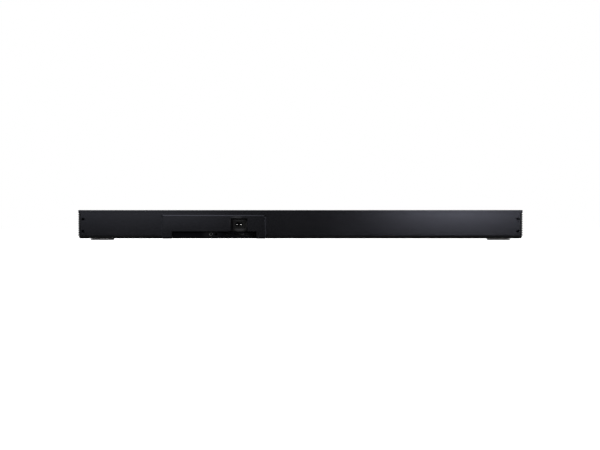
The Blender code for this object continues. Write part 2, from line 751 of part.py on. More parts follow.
def build_recess_pan():
    """The roof and sides of the bay, with the pocket that holds the mains inlet above it."""
    rear = REAR - GAP
    half = POCKET_WIDTH / 2
    pan = add_node(
        "recess_pan",
        box(BAY_LOW - PAN_WALL, BAY_HIGH + PAN_WALL, BAY_BACK, rear, FLOOR + GAP, BAY_TOP + PAN_WALL),
        "inner_plastic",
    )
    outer = half + PAN_WALL
    join(
        pan,
        box(
            POCKET_X - outer,
            POCKET_X + outer,
            POCKET_BACK - PAN_WALL,
            rear - 0.2,
            BAY_TOP - 1,
            POCKET_TOP + PAN_WALL,
        ),
    )
    cut(pan, box(BAY_LOW, BAY_HIGH, BAY_BACK - 5, rear + 5, FLOOR - 5, BAY_TOP))
    cut(
        pan,
        box(POCKET_X - half, POCKET_X + half, POCKET_BACK, rear + 5, BAY_TOP - 5, POCKET_TOP),
    )
    width, height = INLET_BODY
    u = width / 2 + GAP
    v = height / 2 + GAP
    cut(
        pan,
        box(
            POCKET_X - u,
            POCKET_X + u,
            POCKET_BACK - PAN_WALL - 5,
            POCKET_BACK + 1,
            INLET_Z - v,
            INLET_Z + v,
        ),
    )


def build_inlet():
    """The two-pin mains inlet, seated in the pocket's back wall, and its two pins."""
    width, height, thickness = INLET_FLANGE
    seat = POCKET_BACK + GAP
    face = seat + thickness
    x = POCKET_X
    z = INLET_Z
    flange = rounded_outline(x - width / 2, x + width / 2, z - height / 2, z + height / 2, 2.5)
    inlet = add_node("mains_inlet", extruded_back(flange, seat, face), "inner_plastic")
    body_width, body_height = INLET_BODY
    back = face - INLET_BODY_DEPTH
    join(
        inlet,
        box(
            x - body_width / 2,
            x + body_width / 2,
            back,
            seat + thickness / 2,
            z - body_height / 2,
            z + body_height / 2,
        ),
    )
    floor = face - INLET_CAVITY_DEPTH
    cut(inlet, oval(x, z, INLET_CAVITY_WIDTH, 2 * INLET_CAVITY_RADIUS, floor, face + 5))
    tip = face - PIN_SETBACK
    for name, side in (("inlet_pin_left", -1), ("inlet_pin_right", 1)):
        pin_x = x + side * PIN_SPACING / 2
        hole = PIN_RADIUS + GAP
        cut(
            inlet,
            turned(pin_x, z, ((hole, back - 2), (hole, floor + 1)), steps=12),
        )
        profile = (
            (PIN_RADIUS, tip - PIN_LENGTH),
            (PIN_RADIUS, tip - 1.0),
            (PIN_RADIUS * 0.85, tip - 0.4),
            (PIN_RADIUS * 0.45, tip),
        )
        add_node(name, turned(pin_x, z, profile, steps=12), "bright_metal", smooth=True)


def socket_box(place, size):
    """Walls (x0, x1, y0, y1, z0, z1) of a socket that stands on the main board and shows in the bay."""
    width, height, depth = size
    x = BAY_LOW + place
    face = PLATE_FACE + SOCKET_PROUD
    low = BOARD_TOP + GAP
    return x - width / 2, x + width / 2, face - depth, face, low, low + height


def build_jack_plate():
    """The metal plate behind the bay, with a window for each socket."""
    plate = add_node(
        "jack_plate",
        box(
            BAY_LOW - PAN_WALL,
            BAY_HIGH + PAN_WALL,
            PLATE_BACK,
            PLATE_FACE,
            FLOOR + GAP,
            BAY_TOP + PAN_WALL,
        ),
        "black_steel",
    )
    windows = [socket_box(place, DISPLAY_SOCKET_SIZE) for place in DISPLAY_SOCKET_PLACES.values()]
    windows.append(socket_box(SERVICE_SOCKET_PLACE, SERVICE_SOCKET_SIZE))
    windows.append(socket_box(OPTICAL_PLACE, OPTICAL_SIZE))
    for x0, x1, _, _, z0, z1 in windows:
        cut(plate, box(x0 - GAP, x1 + GAP, PLATE_BACK - 3, PLATE_FACE + 3, z0 - GAP, z1 + GAP))
    _, _, _, _, z0, z1 = socket_box(AUDIO_PLACE, AUDIO_SIZE)
    hole = AUDIO_BARREL_RADIUS + GAP
    for x in audio_jack_places():
        cut(
            plate,
            turned(x, (z0 + z1) / 2, ((hole, PLATE_BACK - 3), (hole, PLATE_FACE + 3)), steps=16),
        )


def build_display_socket(name, place):
    """A metal shell with its lower corners drawn in, and the contact tongue inside."""
    x0, x1, y0, y1, z0, z1 = socket_box(place, DISPLAY_SOCKET_SIZE)
    slope = 1.4

    def shell(inset):
        low = z0 + inset
        return [
            (x0 + inset + slope, low),
            (x1 - inset - slope, low),
            (x1 - inset, low + slope),
            (x1 - inset, z1 - inset),
            (x0 + inset, z1 - inset),
            (x0 + inset, low + slope),
        ]

    socket = add_node(name, extruded_back(shell(0), y0, y1), "bright_metal")
    back = y0 + 2.5
    cut(socket, extruded_back(shell(SHELL_WALL), back, y1 + 3))
    middle = (z0 + z1) / 2 + 0.2
    join(socket, box(x0 + 2.4, x1 - 2.4, back - 1, y1 - 1.5, middle - 0.6, middle + 0.6))


def build_service_socket():
    x0, x1, y0, y1, z0, z1 = socket_box(SERVICE_SOCKET_PLACE, SERVICE_SOCKET_SIZE)
    socket = add_node("service_socket", box(x0, x1, y0, y1, z0, z1), "bright_metal")
    wall = SHELL_WALL
    back = y0 + 3
    cut(socket, box(x0 + wall, x1 - wall, back, y1 + 3, z0 + wall, z1 - wall))
    join(socket, box(x0 + 1, x1 - 1, back - 1, y1 - 1.2, z1 - 2.9, z1 - 1.2))


def shutter_hinge():
    """(x, y, z) of the middle of the optical socket's hinge line."""
    x0, x1, _, y1, _, z1 = socket_box(OPTICAL_PLACE, OPTICAL_SIZE)
    return (x0 + x1) / 2, y1 - 1.0, z1 - OPTICAL_WALL - 0.7


def build_optical():
    """The optical socket, and the sprung flap that keeps dust out of it."""
    x0, x1, y0, y1, z0, z1 = socket_box(OPTICAL_PLACE, OPTICAL_SIZE)
    socket = add_node("optical_socket", box(x0, x1, y0, y1, z0, z1), "inner_plastic")
    wall = OPTICAL_WALL
    back = y0 + 1.8
    cut(socket, box(x0 + wall, x1 - wall, back, y1 + 3, z0 + wall, z1 - wall))
    x, y, z = shutter_hinge()
    low = z0 + wall + GAP
    centre = (z0 + z1) / 2
    join(socket, turned(x, centre, ((1.3, back - 1), (1.3, y - (z - low) - 0.6)), steps=12))
    half = SHUTTER_THICKNESS / 2
    add_node(
        "optical_shutter",
        box(x0 + wall + GAP, x1 - wall - GAP, y - half, y + half, low, z + half),
        "inner_plastic",
        origin=(x, y, z),
    )


def audio_jack_places():
    x = BAY_LOW + AUDIO_PLACE
    return x - AUDIO_JACK_SPACING / 2, x + AUDIO_JACK_SPACING / 2


def build_audio_jacks():
    """Two small audio jacks in one housing, each with a round collar through the plate."""
    x0, x1, y0, y1, z0, z1 = socket_box(AUDIO_PLACE, AUDIO_SIZE)
    jacks = add_node("audio_jacks", box(x0, x1, y0, PLATE_BACK - GAP, z0, z1), "inner_plastic")
    centre = (z0 + z1) / 2
    for x in audio_jack_places():
        join(
            jacks,
            turned(
                x,
                centre,
                ((AUDIO_BARREL_RADIUS, PLATE_BACK - 2), (AUDIO_BARREL_RADIUS, y1)),
                steps=16,
            ),
        )
        cut(
            jacks,
            turned(x, centre, ((AUDIO_HOLE_RADIUS, y0 + 2), (AUDIO_HOLE_RADIUS, y1 + 2)), steps=16),
        )


# ---------------------------------------------------------------------------
# Electronics
# ---------------------------------------------------------------------------
def main_board_area():
    return (
        BAY_LOW - MAIN_BOARD_MARGIN,
        BAY_HIGH + MAIN_BOARD_MARGIN,
        BOARD_FRONT,
        PLATE_BACK - GAP,
    )


def power_board_area():
    x0 = -CHAMBER_INNER + POWER_BOARD_TO_CHAMBER
    return x0, x0 + POWER_BOARD_LENGTH, BOARD_FRONT, REAR_INSIDE - POWER_BOARD_TO_REAR


def speaker_header_places():
    """Where the left and the right speaker lead plug into the main board."""
    x0, x1, _, _ = main_board_area()
    return x0 + 10.0, x1 - 8.0


def build_main_board():
    """The main board with its soldered parts, and the finned heat sink on its amplifier."""
    x0, x1, y0, y1 = main_board_area()
    board = add_node("main_board", box(x0, x1, y0, y1, BOARD_LOW, BOARD_TOP), "board_green")
    amplifier_x = x1 - 42.0
    amplifier_y = y0 + 20.0
    chips = (
        (amplifier_x, amplifier_y, 14.0, 14.0, 3.0),
        (x0 + 60.0, y0 + 16.0, 18.0, 18.0, 1.6),
        (x0 + 96.0, y0 + 14.0, 12.0, 10.0, 1.4),
        (x0 + 24.0, y0 + 12.0, 22.0, 14.0, 2.4),
    )
    headers = tuple((x, y0 + 5.0, 8.0, 6.0, 8.0) for x in speaker_header_places())
    for x, y, width, depth, height in chips + headers:
        join(
            board,
            box(
                x - width / 2,
                x + width / 2,
                y - depth / 2,
                y + depth / 2,
                BOARD_TOP - 0.4,
                BOARD_TOP + height,
            ),
        )
    low = BOARD_TOP + 3.0 + GAP
    half_width = 28.0
    fins = 8
    fin = 2.0
    top = low + 26.0
    base = low + 3.5
    pitch = (2 * half_width - fin) / (fins - 1)
    outline = [(half_width, low), (-half_width, low)]
    for i in range(fins):
        left = -half_width + i * pitch
        outline.append((left, base if i else top))
        if i:
            outline.append((left, top))
        outline.append((left + fin, top))
        if i < fins - 1:
            outline.append((left + fin, base))
    outline = [(amplifier_x + u, z) for u, z in outline]
    fins = extruded_back(outline, amplifier_y - 15.0, amplifier_y + 13.0)
    add_node("heat_sink", fins, "fin_aluminium")


def mains_header_place():
    """Where the mains lead comes down on the power board."""
    _, x1, y0, _ = power_board_area()
    return x1 - 14.0, y0 + 30.0


def build_power_board():
    """The power supply board with its soldered parts, and its transformer."""
    x0, x1, y0, y1 = power_board_area()
    board = add_node("power_board", box(x0, x1, y0, y1, BOARD_LOW, BOARD_TOP), "board_green")
    for x, y, width, depth, height in (
        (*mains_header_place(), 10.0, 10.0, 9.0),
        (x0 + 18.0, y1 - 18.0, 16.0, 22.0, 18.0),
        (x0 + 120.0, y1 - 16.0, 22.0, 18.0, 15.0),
    ):
        join(
            board,
            box(
                x - width / 2,
                x + width / 2,
                y - depth / 2,
                y + depth / 2,
                BOARD_TOP - 0.4,
                BOARD_TOP + height,
            ),
        )
    join(board, upright(x0 + 42.0, y0 + 24.0, 9.0, BOARD_TOP - 0.4, BOARD_TOP + 30.0, steps=16))
    low = BOARD_TOP + GAP
    core_x = x0 + 80.0
    core_y = y0 + 32.0
    core = add_node(
        "transformer",
        box(core_x - 17, core_x + 17, core_y - 15, core_y + 15, low + 6, low + 22),
        "winding_tape",
    )
    join(core, box(core_x - 12, core_x + 12, core_y - 11, core_y + 11, low, low + 27))


def smooth_route(points, samples):
    """Points along a smooth curve through the given ones (Catmull-Rom)."""
    knots = [Vector(point) for point in points]
    knots = [2 * knots[0] - knots[1]] + knots + [2 * knots[-1] - knots[-2]]
    route = []
    spans = len(knots) - 3
    for i in range(samples + 1):
        place = min(i * spans / samples, spans - 1e-9)
        k = int(place)
        t = place - k
        a, b, c, d = knots[k : k + 4]
        square = (2 * a - 5 * b + 4 * c - d) * t**2
        cube = (3 * (b - c) + d - a) * t**3
        route.append(0.5 * (2 * b + (c - a) * t + square + cube))
    return route


def add_lead(name, points, radius, samples):
    """An inner lead: a round tube along a smooth route."""
    curve = bpy.data.curves.new(name, "CURVE")
    curve.dimensions = "3D"
    curve.bevel_depth = radius * MM
    curve.bevel_resolution = LEAD_SIDES
    curve.use_fill_caps = True
    route = smooth_route(points, samples)
    spline = curve.splines.new("POLY")
    spline.points.add(len(route) - 1)
    for point, place in zip(spline.points, route):
        point.co = (*(place * MM), 1.0)
    lead = bpy.data.objects.new(name, curve)
    curve.materials.append(finish("cable_jacket"))
    bpy.context.scene.collection.objects.link(lead)


def lead_hole_x():
    return CHAMBER_INNER + CHAMBER_WALL / 2


def build_leads():
    """Speaker leads along the tray behind the baffle, and the mains lead from inlet to power board."""
    driver_x = HALF - DRIVER_FROM_END
    tag_x = driver_x - (MAGNET_RADIUS + PLATE_LENGTH / 2) / 2
    tag_y = basket_back() + GAP
    left_header, right_header = speaker_header_places()
    _, _, board_front, _ = main_board_area()
    for name, side, start in (
        ("speaker_lead_right", 1, right_header),
        ("speaker_lead_left", -1, -left_header),
    ):
        route = [
            (side * start, board_front + 2.0 - GAP, BOARD_TOP + 5.0),
            (side * start, board_front - 2.0, BOARD_TOP + 5.0),
            (side * (start + 8.0), LEAD_Y, LEAD_Z),
            (side * (lead_hole_x() - 8.0), LEAD_Y, LEAD_Z),
            (side * (lead_hole_x() + 8.0), LEAD_Y, LEAD_Z),
            (side * (tag_x - 12.0), tag_y + 1.0, LEAD_Z + 2.0),
            (side * (tag_x - 4.0), tag_y + 10.0, WALL_MIDDLE - 10.0),
            (side * tag_x, tag_y + 5.0, WALL_MIDDLE),
            (side * tag_x, tag_y, WALL_MIDDLE),
        ]
        add_lead(name, route, LEAD_RADIUS, 21 if side > 0 else 35)
    start = (POCKET_X, POCKET_BACK + GAP + INLET_FLANGE[2] - PIN_SETBACK - PIN_LENGTH, INLET_Z)
    header_x, header_y = mains_header_place()
    header = (header_x, header_y, BOARD_TOP + 9.0 + 3 * GAP)
    lead = [(start[0], start[1] - MAINS_LEAD_RADIUS - 1.0, start[2])]
    lead.append((start[0] - 8.0, start[1] - 13.0, start[2] + 1.0))
    for share, height in ((0.35, BOARD_TOP + 16.0), (0.65, BOARD_TOP + 5.0)):
        x = start[0] + share * (header_x - start[0])
        lead.append((x, header_y + (1 - share) * 8.0, height))
    lead.append((header_x + 9.0, header_y, header[2] + 10.0))
    lead.append((header_x, header_y, header[2] + 4.0))
    lead.append(header)
    add_lead("mains_lead", lead, MAINS_LEAD_RADIUS, 24)


def build_display():
    """The lens of the status lights in the baffle, and the small board behind it."""
    half = LENS_LENGTH / 2
    low = WALL_MIDDLE - LENS_HEIGHT / 2
    high = WALL_MIDDLE + LENS_HEIGHT / 2
    board_face = BAFFLE_BACK + GAP
    add_node(
        "status_lens", box(-half, half, BAFFLE_FACE - 1.5, BAFFLE_BACK - GAP, low, high), "clear_plastic"
    )
    add_node(
        "display_board",
        box(-half - 8, half + 8, board_face, board_face + BOARD_THICKNESS, low - 5, high + 5),
        "board_green",
    )


# ---------------------------------------------------------------------------
# Keys
# ---------------------------------------------------------------------------
def key_places():
    first = -KEY_PITCH * (len(KEY_NAMES) - 1) / 2
    return {name: first + i * KEY_PITCH for i, name in enumerate(KEY_NAMES)}


def key_lip_low():
    return LID_SKIN_UNDER - GAP - KEY_LIP_HEIGHT


def key_board_top():
    """The board lies low enough for a pressed key's post to stop just above its switch dome."""
    post_end = key_lip_low() - KEY_POST_LENGTH
    return post_end - KEY_TRAVEL - GAP - DOME_SWITCH_HEIGHT


def key_board_half_length():
    return KEY_PITCH * (len(KEY_NAMES) - 1) / 2 + KEY_WIDTH / 2 + KEY_BOARD_MARGIN


def build_keys():
    """Four keys held under the lid by a lip, each with a post above its dome switch."""
    top = BAR_HEIGHT - KEY_FLUSH
    low = key_lip_low()
    for name, x in key_places().items():
        u = KEY_WIDTH / 2
        v = KEY_LENGTH / 2
        rings = []
        for z, grow, radius in (
            (low, KEY_LIP, KEY_CORNER),
            (low + KEY_LIP_HEIGHT, KEY_LIP, KEY_CORNER),
            (low + KEY_LIP_HEIGHT, 0.0, KEY_CORNER),
            (top - 0.3, 0.0, KEY_CORNER),
            (top, -0.3, KEY_CORNER),
        ):
            outline = rounded_outline(
                x - u - grow, x + u + grow, KEY_ROW_Y - v - grow, KEY_ROW_Y + v + grow, radius
            )
            rings.append([(a, b, z) for a, b in outline])
        key = add_node(
            f"key_{name}", lofted(rings), "inner_plastic", origin=(x, KEY_ROW_Y, top), smooth=True
        )
        join(key, upright(x, KEY_ROW_Y, KEY_POST_RADIUS, low - KEY_POST_LENGTH, low + 0.4))
    board_top = key_board_top()
    half = key_board_half_length()
    board = add_node(
        "key_board",
        box(
            -half,
            half,
            KEY_ROW_Y - KEY_BOARD_DEPTH / 2,
            KEY_ROW_Y + KEY_BOARD_DEPTH / 2,
            board_top - BOARD_THICKNESS,
            board_top,
        ),
        "board_green",
    )
    domes = [
        upright(x, KEY_ROW_Y, DOME_SWITCH_RADIUS, board_top - 0.4, board_top + DOME_SWITCH_HEIGHT)
        for x in key_places().values()
    ]
    join(board, several(*domes))


# ---------------------------------------------------------------------------
# Speakers
# ---------------------------------------------------------------------------
def flange_front():
    return BAFFLE_FACE - GAP - FLANGE_THICKNESS


def basket_back():
    return BAFFLE_FACE - GAP + BASKET_DEPTH


def magnet_front():
    return basket_back() + GAP


def build_baffle():
    """The board behind the cloth that carries the speakers, the port mouths and the lens."""
    end = HALF - BAFFLE_END
    baffle = add_node(
        "baffle", box(-end, end, BAFFLE_FACE, BAFFLE_BACK, FLOOR + GAP, WALL_HIGH), "inner_plastic"
    )
    y0 = BAFFLE_FACE - 3
    y1 = BAFFLE_BACK + 3
    length, height = DRIVER_MOUTH
    grow = 2 * (GAP + BASKET_WALL - 0.8)
    for side in (-1, 1):
        x = side * (HALF - DRIVER_FROM_END)
        cut(baffle, oval(x, WALL_MIDDLE, length + grow, height + grow, y0, y1))
        x = side * (HALF - TWEETER_FROM_END)
        radius = TWEETER_BODY_RADIUS + GAP
        cut(baffle, turned(x, WALL_MIDDLE, ((radius, y0), (radius, y1))))
        x = side * (HALF - PORT_FROM_END)
        radius = PORT_BORE_RADIUS + PORT_WALL + GAP
        cut(baffle, turned(x, WALL_MIDDLE, ((radius, y0), (radius, y1))))
    half = LENS_LENGTH / 2 + GAP
    rise = LENS_HEIGHT / 2 + GAP
    cut(baffle, box(-half, half, y0, y1, WALL_MIDDLE - rise, WALL_MIDDLE + rise))


def build_speaker_box(name, side):
    """The box behind each driver, closed but for its front, with a hole for the speaker lead."""
    x0, x1 = sorted((side * CHAMBER_INNER, side * CHAMBER_OUTER))
    front = BAFFLE_BACK + GAP
    back = REAR_INSIDE - 2 * TRAY_RIM
    low = FLOOR + GAP
    high = WALL_HIGH
    chamber = add_node(name, box(x0, x1, front, back, low, high), "inner_plastic")
    wall = CHAMBER_WALL
    cut(chamber, box(x0 + wall, x1 - wall, front - 5, back - wall, low + 1.2, high - wall))
    hole_x = side * lead_hole_x()
    hole = [
        (LEAD_Y + 2 * LEAD_RADIUS * math.cos(a), LEAD_Z + 2 * LEAD_RADIUS * math.sin(a))
        for a in (2 * math.pi * k / 10 for k in range(10))
    ]
    start = [(hole_x - 2 * wall, y, z) for y, z in hole]
    cut(chamber, extruded(start, (4 * wall, 0, 0)))


def build_driver(name, side):
    """A long-throw oval driver: basket, magnet, and the cone that moves with its coil."""
    x = side * (HALF - DRIVER_FROM_END)
    z = WALL_MIDDLE
    face = flange_front()
    seat = BAFFLE_FACE - GAP
    back = basket_back()
    length, height = DRIVER_MOUTH
    wall = BASKET_WALL
    neck = 2 * (COIL_RADIUS + 3.0)
    plate_height = height - 2.0
    rings = [
        oval_ring(x, z, *DRIVER_FLANGE, face),
        oval_ring(x, z, *DRIVER_FLANGE, seat),
        oval_ring(x, z, length + 2 * wall - 1.6, height + 2 * wall - 1.6, seat),
        oval_ring(x, z, length + 2 * wall - 1.6, height + 2 * wall - 1.6, seat + BAFFLE_THICKNESS + 1),
        oval_ring(x, z, PLATE_LENGTH, plate_height, back),
        oval_ring(x, z, neck, neck, back),
        oval_ring(x, z, neck, neck, back - wall),
        oval_ring(x, z, PLATE_LENGTH - 4, plate_height - 4, back - wall),
        oval_ring(x, z, length - 1.6, height - 1.6, seat + BAFFLE_THICKNESS),
        oval_ring(x, z, length - 1.6, height - 1.6, face),
    ]
    basket = add_node(f"{name}_basket", lofted(rings, closed=True), "black_steel", smooth=True)
    for window_side in (-1, 1):
        window_x = x + window_side * 33.0
        cut(
            basket,
            box(window_x - 9, window_x + 9, seat + BAFFLE_THICKNESS + 3, back - 3, z - 9, z + 9),
        )

    coil_in = COIL_RADIUS - COIL_SKIN / 2 - MAGNET_CLEARANCE
    coil_out = COIL_RADIUS + COIL_SKIN / 2 + MAGNET_CLEARANCE
    front = magnet_front()
    profile = (
        (coil_in, front - 0.5),
        (coil_in, front + MAGNET_SLOT_DEPTH),
        (coil_out, front + MAGNET_SLOT_DEPTH),
        (coil_out, front),
        (MAGNET_RADIUS - 1, front),
        (MAGNET_RADIUS, front + 1),
        (MAGNET_RADIUS, front + MAGNET_DEPTH - 1),
        (MAGNET_RADIUS - 1, front + MAGNET_DEPTH),
    )
    add_node(f"{name}_magnet", turned(x, z, profile), "magnet_steel", smooth=True)

    rim = face
    bottom = rim + CONE_DEPTH
    cone_length, cone_height = CONE_SIZE
    outer = 2 * COIL_RADIUS + COIL_SKIN
    inner = 2 * COIL_RADIUS - COIL_SKIN
    cap = 2 * COIL_RADIUS + 2
    rings = [
        oval_ring(x, z, 0.5, 0.5, bottom - 4.2),
        oval_ring(x, z, cap * 0.5, cap * 0.5, bottom - 3.7),
        oval_ring(x, z, cap * 0.85, cap * 0.85, bottom - 2.4),
        oval_ring(x, z, cap + 1.5, cap, bottom - 1.6),
        oval_ring(x, z, cone_length - 2, cone_height - 2, rim),
        oval_ring(x, z, cone_length, cone_height, rim),
        oval_ring(x, z, cone_length, cone_height, rim + CONE_SKIN),
        oval_ring(x, z, outer + 4, outer + 2, bottom + CONE_SKIN - 0.4),
        oval_ring(x, z, outer, outer, bottom + CONE_SKIN),
        oval_ring(x, z, outer, outer, bottom + COIL_LENGTH),
        oval_ring(x, z, inner, inner, bottom + COIL_LENGTH),
        oval_ring(x, z, inner, inner, bottom - 1.2),
        oval_ring(x, z, 0.5, 0.5, bottom - 3.2),
    ]
    add_node(f"{name}_cone", lofted(rings), "cone_pulp", origin=(x, rim, z), smooth=True)

    bend = ((-0.2, 0.0), (0.1, 0.0), (0.3, 0.75), (0.5, 1.0), (0.7, 0.75), (0.9, 0.0), (1.1, 0.0))
    layers = []
    for base in (face - GAP - SURROUND_SKIN, face - GAP):
        layer = []
        for share, rise in bend:
            grow = -2 * SURROUND_WIDTH * share
            level = base - SURROUND_ROLL * rise
            layer.append(oval_ring(x, z, length + grow, height + grow, level))
        layers.append(layer)
    loop = layers[0] + layers[1][::-1]
    add_node(f"{name}_surround", lofted(loop, closed=True), "rubber", smooth=True)


def build_tweeter(name, side):
    """A small dome tweeter: its body with the face plate, and the dome that moves in it."""
    x = side * (HALF - TWEETER_FROM_END)
    z = WALL_MIDDLE
    face = flange_front()
    seat = BAFFLE_FACE - GAP
    floor = face + FLANGE_THICKNESS + 1.0
    profile = (
        (DOME_RADIUS + DOME_CLEARANCE, floor),
        (DOME_RADIUS + DOME_CLEARANCE, face + 0.8),
        (DOME_RADIUS + DOME_CLEARANCE + 2.0, face),
        (TWEETER_FLANGE_RADIUS - 0.6, face),
        (TWEETER_FLANGE_RADIUS, face + 0.6),
        (TWEETER_FLANGE_RADIUS, seat),
        (TWEETER_BODY_RADIUS, seat),
        (TWEETER_BODY_RADIUS, seat + TWEETER_BODY_DEPTH - 1),
        (TWEETER_BODY_RADIUS - 1, seat + TWEETER_BODY_DEPTH),
    )
    add_node(f"{name}_body", turned(x, z, profile), "inner_plastic", smooth=True)
    edge = floor - DOME_CLEARANCE
    profile = (
        (DOME_RADIUS * 0.15, edge - DOME_SKIN - DOME_RISE),
        (DOME_RADIUS * 0.45, edge - DOME_SKIN - DOME_RISE * 0.85),
        (DOME_RADIUS * 0.8, edge - DOME_SKIN - DOME_RISE * 0.4),
        (DOME_RADIUS, edge - DOME_SKIN),
        (DOME_RADIUS, edge),
        (DOME_RADIUS * 0.78, edge - DOME_RISE * 0.4),
        (DOME_RADIUS * 0.43, edge - DOME_RISE * 0.85),
        (DOME_RADIUS * 0.15, edge - DOME_RISE),
    )
    add_node(f"{name}_dome", turned(x, z, profile), "cone_pulp", origin=(x, edge, z), smooth=True)


def build_port(name, side):
    """A straight port tube with a rounded mouth, open at both ends."""
    x = side * (HALF - PORT_FROM_END)
    face = flange_front()
    seat = BAFFLE_FACE - GAP
    outer = PORT_BORE_RADIUS + PORT_WALL
    profile = (
        (PORT_BORE_RADIUS + 2.0, face),
        (PORT_FLANGE_RADIUS, face),
        (PORT_FLANGE_RADIUS, seat),
        (outer, seat),
        (outer, face + PORT_LENGTH),
        (PORT_BORE_RADIUS, face + PORT_LENGTH),
        (PORT_BORE_RADIUS, face + 2.0),
    )
    tube = turned(x, WALL_MIDDLE, profile, closed=True)
    add_node(name, tube, "inner_plastic", smooth=True)


def clear_scene():
    for obj in list(bpy.data.objects):
        bpy.data.objects.remove(obj, do_unlink=True)


def main():
    clear_scene()
    build_tray()
    build_lid()
    build_rear_cover()
    build_rear_screws()
    build_front_grille()
    build_cloth()
    build_feet()
    build_connector_cover()
    build_recess_pan()
    build_inlet()
    build_jack_plate()
    for name, place in DISPLAY_SOCKET_PLACES.items():
        build_display_socket(name, place)
    build_service_socket()
    build_optical()
    build_audio_jacks()
    build_main_board()
    build_power_board()
    build_leads()
    build_display()
    build_keys()
    build_baffle()
    for side_name, side in (("left", -1), ("right", 1)):
        build_end_grille(f"end_grille_{side_name}", side)
        build_speaker_box(f"speaker_box_{side_name}", side)
        build_driver(f"driver_{side_name}", side)
        build_tweeter(f"tweeter_{side_name}", side)
        build_port(f"port_tube_{side_name}", side)


main()
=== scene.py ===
# %% [markdown]
# # A soundbar, dressed for the studio
# The CAD model has already laid out the bar's pieces. Here each one gets its final shape and finish.
# The bar lies along X. Its listeners sit on the -Y side, and its sockets face +Y. The first cell
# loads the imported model, which fixes every place and size, and notes how large the whole bar is.

# %% Load the frame
import math

import bmesh
import bpy
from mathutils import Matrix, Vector


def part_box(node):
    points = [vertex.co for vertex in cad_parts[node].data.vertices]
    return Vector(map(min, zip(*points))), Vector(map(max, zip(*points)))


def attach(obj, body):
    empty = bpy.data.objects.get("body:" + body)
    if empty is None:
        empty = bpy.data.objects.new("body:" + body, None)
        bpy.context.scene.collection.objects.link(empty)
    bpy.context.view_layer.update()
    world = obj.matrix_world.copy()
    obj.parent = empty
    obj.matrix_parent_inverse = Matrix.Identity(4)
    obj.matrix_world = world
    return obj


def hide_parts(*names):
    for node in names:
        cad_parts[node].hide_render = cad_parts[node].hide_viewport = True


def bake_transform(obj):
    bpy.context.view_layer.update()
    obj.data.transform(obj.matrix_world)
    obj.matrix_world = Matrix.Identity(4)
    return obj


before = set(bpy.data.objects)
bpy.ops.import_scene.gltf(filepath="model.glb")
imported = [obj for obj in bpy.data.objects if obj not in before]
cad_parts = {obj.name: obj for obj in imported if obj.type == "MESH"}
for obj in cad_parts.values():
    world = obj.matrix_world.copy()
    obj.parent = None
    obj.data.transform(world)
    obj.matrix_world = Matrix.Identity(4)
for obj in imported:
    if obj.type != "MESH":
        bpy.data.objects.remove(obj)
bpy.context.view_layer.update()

# %% [markdown]
# ## Places read from the model
# A piece fits because it takes its place from the CAD box of the node it stands for. Shapes are drawn
# in millimetres, which keeps the numbers readable, and become metres when they turn into objects.
# These boxes are read most often: the lid, the tray, the rear panel, and the bay with its sockets.

# %% Read the boxes
MM = 0.001
GAP = 0.3


def span(node):
    """(x0, x1, y0, y1, z0, z1) of a CAD node, in millimetres to a hundredth."""
    low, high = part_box(node)
    return tuple(round(value / MM, 2) for pair in zip(low, high) for value in pair)


_, HALF, FRONT, REAR, LID_UNDER, LID_TOP = span("top_panel")
_, TRAY_HALF, _, _, TRAY_UNDER, TRAY_TOP = span("bottom_tray")
_, PANEL_HALF, PANEL_INSIDE, _, WALL_LOW, WALL_HIGH = span("rear_cover")
COVER_X0, COVER_X1, COVER_BASE, COVER_FACE, COVER_LOW, COVER_HIGH = span("connector_cover")
PAN_X0, PAN_X1, BAY_BACK, PAN_REAR, _, POCKET_ROOF = span("recess_pan")
PLATE = span("jack_plate")
PAN_WALL = 2.0
BAY_X0 = PAN_X0 + PAN_WALL
BAY_X1 = PAN_X1 - PAN_WALL
BAY_TOP = PLATE[5] - PAN_WALL
POCKET_TOP = POCKET_ROOF - PAN_WALL
POCKET_WIDTH = 36.0
POCKET_DEPTH = 13.0
INLET = span("mains_inlet")
INLET_X = (INLET[0] + INLET[1]) / 2
INLET_Z = (INLET[4] + INLET[5]) / 2
CORNER_RADIUS = 16.0
FLOOR = round(span("baffle")[4] - GAP, 2)
print("bar half length", HALF, "bay", BAY_X0, BAY_X1, BAY_TOP, "pocket top", POCKET_TOP)

# %% [markdown]
# ## Small tools for shapes
# Most pieces of a moulded casing are an outline pulled out to a thickness, or a profile turned about
# a line, with openings cut through and a fine round on every edge. Each step is one Blender
# operator, so a few short functions cover the whole bar. They work on a bmesh, Blender's editable
# mesh, because that keeps the points in plain Python lists until the shape is right.


# %% Outlines
def stroke(u0, u1, v0, v1):
    return [(u0, v0), (u1, v0), (u1, v1), (u0, v1)]


def rounded_rectangle(u0, u1, v0, v1, radius, steps=6):
    """The points (u, v) of a rectangle with round corners."""
    middles = (
        (u1 - radius, v1 - radius, 0),
        (u0 + radius, v1 - radius, 90),
        (u0 + radius, v0 + radius, 180),
        (u1 - radius, v0 + radius, 270),
    )
    outline = []
    for u, v, start in middles:
        for k in range(steps + 1):
            angle = math.radians(start + 90 * k / steps)
            outline.append((u + radius * math.cos(angle), v + radius * math.sin(angle)))
    return outline


def circle(radius, steps, u=0.0, v=0.0):
    """The points of a circle about (u, v)."""
    angles = [2 * math.pi * k / steps for k in range(steps)]
    return [(u + radius * math.cos(angle), v + radius * math.sin(angle)) for angle in angles]


def front_corner(inset, side=1, steps=14, start=0.0, end=90.0):
    """One round front corner of the bar seen from above, from the front (0) to the end (90)."""
    radius = CORNER_RADIUS - inset
    corner = []
    for k in range(steps + 1):
        angle = math.radians(start + (end - start) * k / steps)
        x = HALF - CORNER_RADIUS + radius * math.sin(angle)
        corner.append((side * x, FRONT + CORNER_RADIUS - radius * math.cos(angle)))
    return corner


